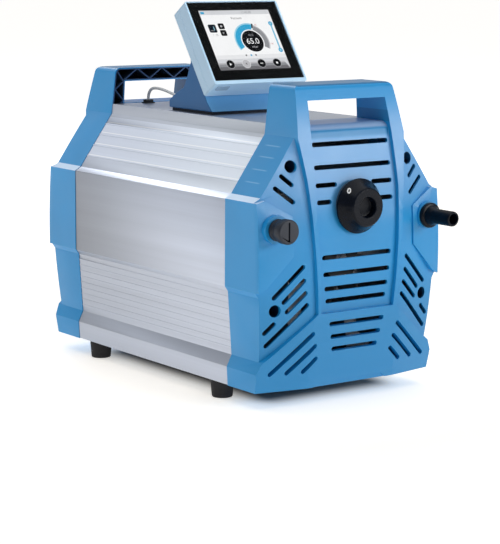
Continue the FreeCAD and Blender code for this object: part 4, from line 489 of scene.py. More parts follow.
def shade_panels(finish, colour, run):
    """Painted light and shade of the case's panels, which changes between the two places of run along Y.

    The belt and the lower flank get painted shade to the rear, and the upper flank and the waist a painted
    highlight to the front. The strip under the top plate and the plate get painted shade, and the upper
    flank's grooves have pale lines of painted highlight.
    """
    height = (finish.axis("Z") - LIFT) / MM
    along = finish.axis("Y").ease(*run)
    upward = finish.facing("Z")
    flank = height.above(FLANK_FOOT) * upward.below(0.9)
    waist = height.below(WAIST_TOP) * upward.below(-0.2)
    finish.paint(height.inside(*BELT_HEIGHTS) * (along * 0.78 + 0.04), shaded(colour, 0.25))
    finish.paint(height.below(BELT_HEIGHTS[0]) * (along * 0.25 + 0.12), shaded(colour, 0.25))
    finish.paint(flank * (1.0 - along) * 0.4, shaded(colour, 1.5))
    finish.paint(waist * (1.0 - along) * 0.6, shaded(colour, 1.5))
    finish.paint(height.above(STRIP_FOOT) * 0.3, shaded(colour, 0.2))
    for level in FLANK_LINES:
        line = (height - (level + 0.6)).size().fade(0.2, 0.7)
        finish.paint(line * flank * 0.55, (1.0, 1.0, 1.0))


def anodised_panel(name, colour, roughness=0.36, run=None):
    """Extruded and anodised aluminium: die lines along Y over a fine blasted grain.

    run is for the case's panels: the two places along Y between which their painted light and shade changes.
    """
    finish = Finish(name)
    lines = finish.noise((0.0007, 0.6, 0.0007), 4.0, 0.7)
    bands = finish.noise((0.011, 2.0, 0.011), 3.0, 0.6)
    grain = finish.noise(0.00035, 2.0)
    cloud = finish.noise((0.09, 0.22, 0.09), 2.0)
    finish.vary(bands.ease(0.25, 0.75), colour, 0.93, 1.04)
    finish.paint(cloud.ease(0.35, 0.7) * 0.25, shaded(colour, 1.08))
    finish.paint(lines.ease(0.55, 0.9) * 0.22, shaded(colour, 0.74))
    if run:
        shade_panels(finish, colour, run)
    normal = finish.bump(lines, 0.00003, 0.55)
    normal = finish.bump(grain, 0.000012, 0.5, normal)
    rough = (lines - 0.5) * 0.16 + (grain - 0.5) * 0.14 + roughness
    return finish.surface(rough, Normal=normal, Metallic=0.82)


def cast_metal(name, colour, roughness=0.5, grain=0.0012):
    """Die cast or blasted aluminium with a coarse skin and darker hollows."""
    finish = Finish(name)
    skin = finish.noise(grain, 5.0, 0.65)
    cloud = finish.noise(0.03, 3.0)
    finish.vary(skin.ease(0.3, 0.75), colour, 0.78, 1.08)
    finish.paint(cloud.ease(0.35, 0.75) * 0.3, shaded(colour, 0.82))
    return finish.surface((skin - 0.5) * 0.25 + roughness, Normal=finish.bump(skin, 0.00012, 0.6),
                          Metallic=0.9)


def turned_steel(name, colour, roughness=0.28, pitch=0.0004, centre=(0, 0, 0)):
    """Machined metal with tool rings about an axis along Y through centre."""
    finish = Finish(name)
    rings = finish.rings(pitch, centre, 0.8)
    stain = finish.noise(0.012, 4.0)
    finish.vary(stain.ease(0.4, 0.75) * 0.4, colour, 1.0, 0.72)
    rough = (stain - 0.5) * 0.22 + (rings - 0.5) * 0.06 + roughness
    return finish.surface(rough, Normal=finish.bump(rings, 0.000008, 0.5), Metallic=1.0)


def plated_sheet(name, colour):
    """Zinc plated sheet steel with a faint spangle and rolling lines."""
    finish = Finish(name)
    spangle = finish.grains(0.006)
    lines = finish.noise((0.0006, 0.2, 0.0006), 3.0)
    finish.vary(spangle.ease(0.1, 0.7), colour, 0.86, 1.06)
    rough = (spangle - 0.4) * 0.14 + (lines - 0.5) * 0.1 + 0.38
    return finish.surface(rough, Normal=finish.bump(lines, 0.00001, 0.4), Metallic=0.95)


def stacked_steel(name, colour):
    """Laminated core: thin sheets stacked along Y, each edge a little different."""
    finish = Finish(name)
    sheets = (finish.axis("Y") / 0.0005).fraction()
    gap = (sheets - 0.5).size().ease(0.38, 0.5)
    each = finish.noise((0.05, 0.0006, 0.05), 0.0)
    finish.vary(each.ease(0.3, 0.7), colour, 0.8, 1.15)
    finish.paint(gap * 0.7, shaded(colour, 0.3))
    return finish.surface((each - 0.5) * 0.2 + 0.45, Normal=finish.bump(1.0 - gap, 0.00006, 0.6),
                          Metallic=0.85)


def wound_copper(name, colour, centre):
    """Enamelled wire wound round the motor's axis, darker between strands, with painted and real glints on
    each.
    """
    finish = Finish(name)
    strands = finish.rings(0.0022, centre, 2.5, 0.4)
    finish.vary(strands, colour, 0.35, 1.15)
    return finish.surface(0.46 - strands * 0.16, Normal=finish.bump(strands, 0.0004, 0.8), Metallic=0.8,
                          Coat_Weight=0.6, Coat_Roughness=0.18)


def clear_glass(name):
    """Thin cover glass over the screen: almost unseen, with a faint sheen and finger marks."""
    finish = Finish(name)
    marks = finish.noise(0.02, 5.0)
    finish.tone = opaque((0.01, 0.012, 0.015))
    return finish.surface(marks.ease(0.5, 0.8) * 0.12 + 0.03,
                          Alpha=(marks.ease(0.5, 0.9) * 0.03 + 0.05).clamped(), IOR=1.5)


def lit_ink(name, colour, glow):
    """A patch of the lit screen: a steady glow with the faint grid of its dots."""
    finish = Finish(name)
    rows = ((finish.axis("X") / 0.00035).fraction() - 0.5).size().ease(0.36, 0.5)
    finish.vary(rows * 0.12, colour, 0.12, 0.08)
    light = finish.between(rows * 0.12, colour, shaded(colour, 0.6))
    return finish.surface(rows * 0.1 + 0.3, Emission_Color=light, Emission_Strength=glow,
                          Specular_IOR_Level=0.05)


def black_print(name):
    """Black enamel printed on the back of the cover glass."""
    finish = Finish(name)
    marks = finish.noise(0.025, 4.0)
    finish.tone = finish.between(marks.ease(0.45, 0.8), (0.003, 0.0036, 0.004), (0.005, 0.006, 0.007))
    return finish.surface(marks * 0.12 + 0.2, Specular_IOR_Level=0.02)


def laminate(name, colour):
    """Circuit board: woven glass under a coloured mask."""
    finish = Finish(name)
    weave = ((finish.axis("X") / 0.0008).wave() * (finish.axis("Z") / 0.0008).wave() + 1.0) * 0.5
    finish.vary(weave, colour, 0.85, 1.2)
    return finish.surface(weave * 0.1 + 0.35, Normal=finish.bump(weave, 0.00002, 0.4))


# Meshes
def collect(bm, name):
    mesh = bpy.data.meshes.new(name)
    bm.to_mesh(mesh)
    bm.free()
    piece = bpy.data.objects.new(name, mesh)
    bpy.context.scene.collection.objects.link(piece)
    return piece


def smooth(piece, angle=32.0):
    mesh = piece.data
    mesh.polygons.foreach_set("use_smooth", [True] * len(mesh.polygons))
    mesh.set_sharp_from_angle(angle=math.radians(angle))
    return piece


def rounded(piece, width, segments=3, angle=30.0):
    """Rounds every edge sharper than angle with a live bevel."""
    bevel = piece.modifiers.new("edges", "BEVEL")
    bevel.width = width
    bevel.segments = segments
    bevel.limit_method = "ANGLE"
    bevel.angle_limit = math.radians(angle)
    bevel.harden_normals = True
    bevel.use_clamp_overlap = True


def lathe(name, profile, at, axis=Y_AXIS, steps=96, round_edges=0.0):
    """Turns a closed profile of (distance along the axis, radius) points, in millimetres."""
    bm = bmesh.new()
    turn = Z_AXIS.rotation_difference(axis).to_matrix()
    corners = [bm.verts.new(at + turn @ Vector((radius * MM, 0, along * MM))) for along, radius in profile]
    edges = [bm.edges.new((corners[index], corners[(index + 1) % len(corners)]))
             for index in range(len(corners))]
    edges = [edge for edge, (first, second) in zip(edges, zip(profile, profile[1:] + profile[:1]))
             if first[1] or second[1]]
    bmesh.ops.spin(bm, geom=corners + edges, cent=at, axis=axis, dvec=(0, 0, 0), angle=math.tau,
                   steps=steps, use_merge=True, use_duplicate=False)
    bmesh.ops.remove_doubles(bm, verts=bm.verts, dist=TOUCHING)
    bmesh.ops.dissolve_degenerate(bm, dist=TOUCHING / 10, edges=bm.edges)
    loose = [edge for edge in bm.edges if not edge.link_faces]
    bmesh.ops.delete(bm, geom=loose, context="EDGES")
    bmesh.ops.recalc_face_normals(bm, faces=bm.faces)
    piece = smooth(collect(bm, name))
    if round_edges:
        rounded(piece, round_edges * MM)
    return piece


def slab(name, low, high, turn=None, round_edges=0.0):
    """A rectangular piece between two corners in metres, turned afterwards by a matrix."""
    bm = bmesh.new()
    bmesh.ops.create_cube(bm, size=1.0)
    middle = (Vector(low) + Vector(high)) / 2
    span = Vector(high) - Vector(low)
    bmesh.ops.scale(bm, vec=span, verts=bm.verts)
    bmesh.ops.translate(bm, vec=middle, verts=bm.verts)
    if round_edges:
        bmesh.ops.bevel(bm, geom=bm.edges, offset=round_edges * MM, offset_type="OFFSET", segments=3,
                        profile=0.5, affect="EDGES", material=-1, clamp_overlap=True)
    if turn is not None:
        bmesh.ops.transform(bm, matrix=turn, verts=bm.verts)
    return smooth(collect(bm, name))


# Faces that meet at less than this angle are one flat face
FLAT = math.radians(0.4)


def dressed(node, width, segments=2, angle=30.0):
    """A merged copy of a CAD node's mesh with rounded edges, which stands for the node."""
    bm = bmesh.new()
    bm.from_mesh(NODES[node].data)
    bmesh.ops.remove_doubles(bm, verts=bm.verts, dist=TOUCHING)
    bmesh.ops.dissolve_limit(bm, angle_limit=FLAT, verts=bm.verts, edges=bm.edges,
                             delimit={"NORMAL"})
    piece = smooth(collect(bm, node + "_dressed"))
    rounded(piece, width * MM, segments, angle)
    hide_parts(node)
    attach(piece, NODES[node]["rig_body"])
    return piece


def coat(piece, material):
    """Gives a piece or a CAD node's object one material all over."""
    piece.data.materials.clear()
    piece.data.materials.append(material)


def lettering(name, text, height, place, thickness, boldness=0.0):
    """A flat word or number as a mesh, laid by a matrix whose Z points out of the surface."""
    curve = bpy.data.curves.new(name + "_curve", "FONT")
    curve.body = text
    curve.size = height
    curve.align_x = "CENTER"
    curve.align_y = "CENTER"
    curve.extrude = thickness / 2
    curve.offset = boldness
    holder = bpy.data.objects.new(name + "_curve", curve)
    bpy.context.scene.collection.objects.link(holder)
    bpy.context.view_layer.update()
    graph = bpy.context.evaluated_depsgraph_get()
    mesh = bpy.data.meshes.new_from_object(holder.evaluated_get(graph))
    bpy.data.objects.remove(holder)
    bpy.data.curves.remove(curve)
    mesh.transform(place)
    mesh.name = name
    piece = bpy.data.objects.new(name, mesh)
    bpy.context.scene.collection.objects.link(piece)
    return piece


# Sizes and colours that a user would change
def colour_setting(label, words, channels):
    return FloatVectorProperty(name=label, description=words, subtype="COLOR", size=3, min=0.0, max=1.0,
                               default=linear(*channels))


def length_setting(label, words, millimetres):
    return FloatProperty(name=label, description=words, subtype="DISTANCE", unit="LENGTH", min=0.0,
                         default=millimetres * MM, precision=5)


def brightness_setting(label, words, default):
    return FloatProperty(name=label, description=words, min=0.0, default=default)


class PumpCaseLooks(bpy.types.PropertyGroup):
    cover_blue: colour_setting("Cover blue", "Colour of the moulded end covers", (24, 145, 211))
    aluminium: colour_setting("Aluminium", "Colour of the side panels and top plate", (200, 208, 224))
    cover_edge: length_setting("Cover edge", "Radius of the end covers' outer edges", 1.3)
    panel_edge: length_setting("Panel edge", "Radius of the side panels' bends", 0.5)
    cover_roughness: FloatProperty(name="Cover roughness", description="Roughness of the end covers",
                                   subtype="FACTOR", min=0.0, max=1.0, default=0.37)


class PumpFrontLooks(bpy.types.PropertyGroup):
    black: colour_setting("Black", "Colour of knob and hose nozzle", (3, 9, 21))
    charcoal: colour_setting("Charcoal", "Colour of the silencer", (17, 27, 42))
    mark: StringProperty(name="Dial mark", description="Figure on the ballast knob", default="0")
    mark_height: length_setting("Mark height", "Height of the figure on the knob", 9.0)


class PumpScreenLooks(bpy.types.PropertyGroup):
    reading: StringProperty(name="Reading", description="Number in the middle of the gauge", default="65.0")
    headline: StringProperty(name="Headline", description="Line of text over the gauge", default="Vacuum")
    glow: brightness_setting("Glow", "Brightness of the lit screen", 0.95)
    shell: colour_setting("Display shell", "Colour of the display's housing", (168, 200, 226))
    pedestal: colour_setting("Pedestal", "Colour of the display's pedestal", (38, 116, 184))
    arc_blue: colour_setting("Gauge blue", "Colour of the gauge's filled arc", (52, 166, 212))


class PumpCableLooks(bpy.types.PropertyGroup):
    sheath: colour_setting("Sheath", "Colour of the controller's lead", (196, 200, 204))
    diameter: length_setting("Diameter", "Diameter of the controller's lead", 3.8)


class PumpStageLooks(bpy.types.PropertyGroup):
    floor: colour_setting("Floor", "Colour of the studio floor", (247, 247, 248))
    sky: brightness_setting("Sky", "Strength of the even studio light", 0.27)
    ceiling: brightness_setting("Ceiling", "Brightness of the softbox overhead", 1.0)
    key: brightness_setting("Key", "Brightness of the softbox that the front reflects", 12.0)
    side: brightness_setting("Side", "Brightness of the softbox that the side panel reflects", 0.35)
    edge: brightness_setting("Edge", "Brightness of the softbox that upright top edges reflect", 0.8)
    rear: brightness_setting("Rear", "Brightness of the softbox that sloped faces reflect", 0.9)
    ledge: brightness_setting("Ledge", "Brightness of the softbox that narrow ledges reflect", 5.2)
    horizon: brightness_setting("Horizon", "Brightness of the softbox that level faces reflect", 0.5)


def looks(context, part):
    return getattr(context.scene, "pump_" + part)


# Stage
LENS = 138.57
CAMERA_AT = Vector((-1.35469, -1.88599, 0.50651))
CAMERA_TURN = math.radians(-35.90)
CAMERA_DIP = math.radians(9.49)
CAMERA_ROLL = math.radians(0.31)

# Softboxes: where each stands, the place that it faces, and its width and height, in metres
SOFTBOXES = {
    "ceiling": ((0, 0, 3.5), (0, 0, 0), (5.0, 5.0)),
    "key": ((1.0, -2.1, 0.8), (0, -0.2, 0.27), (1.4, 0.42)),
    "side": ((-0.72, 0.62, 0.12), (-0.13, -0.15, 0.18), (0.4, 0.4)),
    "edge": ((-1.25, 1.6, 0.47), (-0.08, 0, 0.31), (1.2, 0.25)),
    "rear": ((-0.9, 2.25, 1.6), (0, 0, 0.25), (1.3, 1.3)),
    "ledge": ((0.25, 2.1, 1.8), (0, 0, 0.25), (0.8, 0.8)),
    "horizon": ((1.5, 2.05, 0.98), (0, 0, 0.3), (1.6, 1.0)),
}

# The floor round the part is a little warm, which evens out the blue light that the covers throw on it
FLOOR_WARMTH = (1.0, 0.95, 0.87)
WARM_REACH = (1.0, 3.0)

# The floor glows faintly, from this share of the full glow near the part to all of it far out,
# with a little more of it close about the part, painted light that lifts the shadow there. Distances are in
# metres.
FLOOR_GLOW = (0.75, 0.74, 0.72)
NEAR_SHARE = 0.45
CLOSE_SHARE = 0.2
GLOW_REACH = (0.4, 3.0)
CLOSE_REACH = (0.28, 0.42)

# The painted shadow beneath the case, without glow and darker, ends between these distances from the middle
SHADOW_ACROSS = (0.072, 0.112)
SHADOW_ALONG = (0.15, 0.2)


class PUMP_OT_stage(bpy.types.Operator):
    """Adds the studio floor, soft lights and the camera"""
    bl_idname = "pump.stage"
    bl_label = "Stage"

    def execute(self, context):
        stage = looks(context, "stage")
        self.add_camera(context)
        self.add_floor(stage)
        self.add_sky(context, stage)
        for name, (at, towards, size) in SOFTBOXES.items():
            self.add_softbox(name + "_softbox", at, towards, size, getattr(stage, name))
        context.scene.view_settings.view_transform = "Standard"
        return {"FINISHED"}

    def add_camera(self, context):
        camera = bpy.data.objects.new("camera", bpy.data.cameras.new("camera"))
        context.scene.collection.objects.link(camera)
        camera.data.lens = LENS
        camera.data.sensor_width = 36.0
        camera.data.sensor_fit = "HORIZONTAL"
        camera.data.clip_end = 100.0
        back = Vector((math.sin(CAMERA_TURN) * math.cos(CAMERA_DIP),
                       -math.cos(CAMERA_TURN) * math.cos(CAMERA_DIP), math.sin(CAMERA_DIP)))
        right = Vector((math.cos(CAMERA_TURN), math.sin(CAMERA_TURN), 0))
        up = back.cross(right)
        rolled_right = right * math.cos(CAMERA_ROLL) + up * math.sin(CAMERA_ROLL)
        rolled_up = back.cross(rolled_right)
        turn = Matrix((rolled_right, rolled_up, back)).transposed()
        camera.matrix_world = Matrix.Translation(CAMERA_AT) @ turn.to_4x4()
        context.scene.camera = camera

    def add_floor(self, stage):
        """A wide floor with a faint glow, more of it near the part and far out, and a painted shadow beneath.
        """
        bm = bmesh.new()
        bmesh.ops.create_grid(bm, x_segments=4, y_segments=4, size=40.0)
        floor = collect(bm, "studio_floor")
        finish = Finish("studio_floor")
        mottle = finish.noise(0.4, 2.0)
        across = finish.axis("X")
        along = finish.axis("Y")
        away = distance(across, along)
        # Painted shadow beneath the case: its glow is taken away and its colour darkened
        beneath = across.size().fade(*SHADOW_ACROSS) * along.size().fade(*SHADOW_ALONG)
        share = away.ease(*GLOW_REACH) * (1.0 - NEAR_SHARE) + NEAR_SHARE
        share = (share + away.fade(*CLOSE_REACH) * CLOSE_SHARE) * (1.0 - beneath)
        glow = finish.between(share, (0, 0, 0), FLOOR_GLOW)
        warm = tuple(channel * warmth for channel, warmth in zip(stage.floor, FLOOR_WARMTH))
        finish.vary(mottle, stage.floor, 0.99, 1.0)
        finish.paint(away.fade(*WARM_REACH), warm)
        finish.paint(beneath, shaded(warm, 0.3))
        coat(floor, finish.surface(mottle * 0.05 + 0.55, Specular_IOR_Level=0.25, Emission_Color=glow,
                                   Emission_Strength=1.0))

    def add_sky(self, context, stage):
        world = bpy.data.worlds.new("studio")
        world.use_nodes = True
        background = world.node_tree.nodes["Background"]
        background.inputs["Color"].default_value = (1.0, 1.0, 1.0, 1.0)
        background.inputs["Strength"].default_value = stage.sky
        context.scene.world = world

    def add_softbox(self, name, at, towards, size, brightness):
        light = bpy.data.lights.new(name, "AREA")
        light.shape = "RECTANGLE"
        light.size, light.size_y = size
        light.energy = brightness * size[0] * size[1] * math.pi
        holder = bpy.data.objects.new(name, light)
        bpy.context.scene.collection.objects.link(holder)
        aim = (Vector(towards) - Vector(at)).to_track_quat("-Z", "Y")
        holder.matrix_world = Matrix.Translation(at) @ aim.to_matrix().to_4x4()


# Controller lead: the same route as its solid, from the plug to the pedestal
LEAD_START = spot(-28.0, 151.5, 299.5)
LEAD_STEPS = (
    (0, 0, 0),
    (0, 0, 5),
    (0, -3.4, 10.9),
    (-0.3, -9.8, 14.6),
    (-0.8, -20.7, 15.7),
    (-1.2, -38.7, 14.4),
    (-1.5, -62.2, 9.8),
    (-1.0, -83.9, 4.6),
    (-1.0, -103.5, 4.6),
)


class PUMP_OT_lead(bpy.types.Operator):
    """Lays the controller's lead and dresses its plug and socket"""
    bl_idname = "pump.lead"
    bl_label = "Controller lead"

    def execute(self, context):
        cable = looks(context, "cable")
        sheath = soft_rubber("lead_sheath", cable.sheath, 0.5)
        curve = bpy.data.curves.new("controller_lead", "CURVE")
        curve.dimensions = "3D"
        curve.bevel_depth = cable.diameter / 2
        curve.bevel_resolution = 6
        curve.resolution_u = 14
        curve.use_fill_caps = True
        spline = curve.splines.new("NURBS")
        points = [LEAD_START + Vector(step) * MM for step in LEAD_STEPS]
        spline.points.add(len(points) - 1)
        for point, place in zip(spline.points, points):
            point.co = (*place, 1.0)
        spline.order_u = 3
        spline.use_endpoint_u = True
        lead = bpy.data.objects.new("controller_lead", curve)
        context.scene.collection.objects.link(lead)
        curve.materials.append(sheath)
        plug = dressed("cable_plug", 0.7, 3)
        coat(plug, moulded_plastic("plug_black", linear(30, 31, 33), 0.5))
        socket = dressed("cable_socket", 0.4)
        coat(socket, moulded_plastic("socket_black", linear(38, 39, 42), 0.45))
        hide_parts("controller_cable")
        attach(lead, "housing")
        boot = lathe("lead_boot", [(-1, 0), (-1, 3.4), (1.2, 3.4), (2.4, 2.9), (7, 2.2), (7, 0)],
                     points[-1], steps=40, round_edges=0.3)
        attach(boot, "housing")
        coat(boot, sheath)
        return {"FINISHED"}


# Case
class PUMP_OT_covers(bpy.types.Operator):
    """Rounds the edges of both moulded end covers and gives them their grained plastic"""
    bl_idname = "pump.covers"
    bl_label = "End covers"

    def execute(self, context):
        case = looks(context, "case")
        plastic = cover_moulding("cover_plastic", case.cover_blue, case.cover_roughness)
        for node in ("front_cover", "rear_cover"):
            cover = dressed(node, case.cover_edge / MM, 3, 24.0)
            coat(cover, plastic)
        return {"FINISHED"}


class PUMP_OT_panels(bpy.types.Operator):
    """Finishes the extruded side panels, the top plate and the base plate"""
    bl_idname = "pump.panels"
    bl_label = "Panels"

    def execute(self, context):
        case = looks(context, "case")
        metal = anodised_panel("panel_aluminium", case.aluminium, run=PANEL_RUN)
        for node in ("left_side_panel", "right_side_panel"):
            panel = dressed(node, case.panel_edge / MM, 2, 12.0)
            coat(panel, metal)
        plate = dressed("top_plate", 0.5)
        coat(plate, metal)
        coat(NODES["base_plate"], plated_sheet("base_steel", linear(150, 153, 158)))
        return {"FINISHED"}


class PUMP_OT_feet(bpy.types.Operator):
    """Rounds the rubber feet and finishes the screws that hold them"""
    bl_idname = "pump.feet"
    bl_label = "Feet"

    def execute(self, context):
        feet = dressed("rubber_feet", 1.4, 3)
        coat(feet, soft_rubber("foot_rubber", linear(34, 34, 37)))
        coat(NODES["foot_screws"], turned_steel("foot_screw_steel", linear(168, 170, 174)))
        return {"FINISHED"}


# Knob and ports: the flank's two ends are given as distance along the axis and radius, the mark's place
# as distance to the right and up from the axis
FRONT = Vector((0, -1, 0))
KNOB_AT = spot(0, -237.3, 204.3)
FLANK = ((11.5, 24.9), (7.5, 27.4))
MARK_AT = (-19.5, 18.5)
MARK_RISE = 0.4 * MM
NOZZLE_AT = spot(109.5, -233.0, 185.0)
SILENCER_AT = spot(-109.5, -233.0, 185.0)


class PUMP_OT_knob(bpy.types.Operator):
    """Turns the ballast knob with its figure, and finishes the valve behind it"""
    bl_idname = "pump.knob"
    bl_label = "Ballast knob"

    def execute(self, context):
        front = looks(context, "front")
        knob = lathe("ballast_knob", [
            (0.0, 5.0), (0.0, 29.6), (0.7, 31.2), (3.0, 31.2), (4.2, 30.2), (7.5, 27.4), (11.5, 24.9),
            (15.5, 23.0), (17.6, 21.9), (18.7, 20.4), (18.7, 12.6), (18.0, 11.7), (9.9, 10.9),
            (9.7, 10.2), (9.7, 0.0), (7.7, 0.0), (7.7, 5.0)], KNOB_AT, FRONT, steps=128)
        rounded(knob, 0.35 * MM, 2, 20.0)
        coat(knob, gloss_plastic("knob_black", front.black, 0.24, 0.12))
        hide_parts("knob")
        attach(knob, "ballast_knob")
        self.add_mark(front)
        coat(NODES["ballast_spindle"], turned_steel("spindle_steel", linear(176, 178, 182)))
        coat(NODES["ballast_valve_body"], cast_metal("valve_casting", linear(120, 124, 130)))
        return {"FINISHED"}

    def add_mark(self, front):
        """The figure lies on the knob's flank, turned to face out of it."""
        out = Vector((MARK_AT[0], 0, MARK_AT[1])).normalized()
        inner, outer = FLANK
        slope = Vector((outer[1] - inner[1], outer[0] - inner[0]))
        radius = math.hypot(*MARK_AT)
        forward = inner[0] + (outer[0] - inner[0]) * (radius - inner[1]) / slope[0]
        normal = (out * -slope[1] + FRONT * slope[0]).normalized()
        right = Z_AXIS.cross(normal).normalized()
        upward = normal.cross(right)
        turn = Matrix((right, upward, normal)).transposed().to_4x4()
        at = KNOB_AT + Vector((MARK_AT[0], -forward, MARK_AT[1])) * MM + normal * MARK_RISE
        mark = lettering("knob_mark", front.mark, front.mark_height, Matrix.Translation(at) @ turn,
                         thickness=0.9 * MM, boldness=0.2 * MM)
        coat(mark, moulded_plastic("mark_white", linear(238, 238, 236), 0.5))
        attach(mark, "ballast_knob")


class PUMP_OT_ports(bpy.types.Operator):
    """Turns the hose nozzle and the silencer and finishes the nuts behind the cover"""
    bl_idname = "pump.ports"
    bl_label = "Ports"

    def execute(self, context):
        front = looks(context, "front")
        black = gloss_plastic("port_black", front.black, 0.3, 0.2)
        charcoal = moulded_plastic("silencer_charcoal", front.charcoal, 0.5, 0.0005)
        nozzle = lathe("hose_nozzle", [
            (-26, 5.5), (-26, 10), (0, 10), (0, 14.2), (1.2, 14.6), (3.6, 14.6), (5.0, 13.6), (5.6, 11.4),
            (9.0, 10.9), (12.0, 9.6), (14.5, 8.8), (41.0, 8.8), (42.4, 8.4), (43.0, 7.6), (43.0, 6.4),
            (35.0, 5.5)], NOZZLE_AT, FRONT, round_edges=0.25)
        coat(nozzle, black)
        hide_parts("inlet_nozzle")
        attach(nozzle, "housing")
        body = lathe("silencer_barrel", [
            (-26, 5.5), (-26, 10), (0, 10), (0, 11.4), (1.0, 12.4), (3.4, 12.4), (4.2, 11.4), (8.6, 11.4),
            (9.2, 10.4), (11.5, 10.4), (11.5, 5.5)], SILENCER_AT, FRONT, round_edges=0.2)
        coat(body, charcoal)
        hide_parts("silencer_body")
        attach(body, "housing")
        cap = dressed("silencer_cap", 0.45)
        coat(cap, charcoal)
        nut_black = moulded_plastic("nut_black", linear(40, 40, 42), 0.5)
        for node in ("inlet_nut", "outlet_nut"):
            coat(NODES[node], nut_black)
        return {"FINISHED"}


# Display, in millimetres from the middle of the glass's lower edge: the glass, the lit screen, how deep
# glass, print and screen lie behind its face, and the steps in which shapes lie on the screen
DISPLAY = Matrix.Translation(spot(0, -51.6, 335.9)) @ Matrix.Rotation(math.radians(-34.8), 4, "X")
GLASS_HALF = 65.2
GLASS_HIGH = 108.9
SCREEN_HALF = 51.7
SCREEN_LOW = 14.1
SCREEN_HIGH = 97.7
GLASS_DEPTH = 1.2
PRINT_DEPTH = 1.25
PRINT_INSET = 0.4
LIGHT_DEPTH = 1.75
LAYER_STEP = 0.0075
WORDS_STEP = 0.02
INK_THICKNESS = 0.025
WORDS_THICKNESS = 0.03

# Deck under the screen's buttons: its height, and by how much it narrows towards its top
DECK_TOP = 24.6
DECK_NARROWING = 5.6

# Colours of the screen's inks
INKS = {
    "white": (250, 251, 252),
    "haze": (236, 237, 239),
    "bar": (214, 216, 220),
    "silver": (190, 190, 194),
    "grey": (146, 148, 152),
    "deck": (112, 112, 116),
    "text": (92, 84, 86),
    "blush": (206, 150, 146),
    "pale_blue": (158, 214, 234),
    "black": (8, 10, 14),
    "navy": (10, 22, 36),
}

# Turns what is drawn flat, such as text, to stand up in the screen's plane
UPRIGHT = Matrix.Rotation(math.pi / 2, 4, "X")


def on_screen(x, z, depth):
    """A point of the display: x to the right, z up the glass, depth behind its face, in millimetres."""
    return Vector((x, depth, z)) * MM


def rectangle(left, right, low, high):
    return [(left, low), (right, low), (right, high), (left, high)]


class PUMP_OT_display(bpy.types.Operator):
    """Dresses the display's two shells, its cover glass and the printed border behind the glass"""
    bl_idname = "pump.display"
    bl_label = "Display"

    def execute(self, context):
        screen = looks(context, "screen")
        # The shells' forward faces get a lighter colour: painted light
        shell = moulded_plastic("display_shell", screen.shell, 0.38, 0.0005, 0.00002,
                                front=shaded(screen.shell, 1.35))
        for node in ("display_housing", "display_back"):
            piece = dressed(node, 1.1, 3)
            coat(piece, shell)
        flap = dressed("port_cover", 0.4)
        coat(flap, moulded_plastic("port_cover_grey", linear(146, 176, 203), 0.5))
        glass = slab("cover_glass", on_screen(-GLASS_HALF, 0, 0),
                     on_screen(GLASS_HALF, GLASS_HIGH, GLASS_DEPTH), DISPLAY, 0.3)
        coat(glass, clear_glass("screen_glass"))
        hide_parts("display_glass")
        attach(glass, "housing")
        border = self.add_border()
        coat(border, black_print("border_black"))
        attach(border, "housing")
        coat(NODES["display_panel"], moulded_plastic("panel_frame_grey", linear(90, 92, 96), 0.45))
        coat(NODES["display_board"], laminate("board_green", linear(24, 96, 60)))
        return {"FINISHED"}

    def add_border(self):
        """The black print round the screen, a thin frame behind the glass."""
        bm = bmesh.new()
        outer = rectangle(PRINT_INSET - GLASS_HALF, GLASS_HALF - PRINT_INSET, PRINT_INSET,
                          GLASS_HIGH - PRINT_INSET)
        inner = rectangle(-SCREEN_HALF, SCREEN_HALF, SCREEN_LOW, SCREEN_HIGH)
        rings = []
        for corners in (outer, inner):
            verts = [bm.verts.new(on_screen(x, z, PRINT_DEPTH)) for x, z in corners]
            rings += [bm.edges.new((verts[index], verts[(index + 1) % 4])) for index in range(4)]
        bmesh.ops.bridge_loops(bm, edges=rings)
        bmesh.ops.solidify(bm, geom=bm.faces, thickness=0.0003)
        bmesh.ops.recalc_face_normals(bm, faces=bm.faces)
        bmesh.ops.transform(bm, matrix=DISPLAY, verts=bm.verts)
        return smooth(collect(bm, "border_print"))


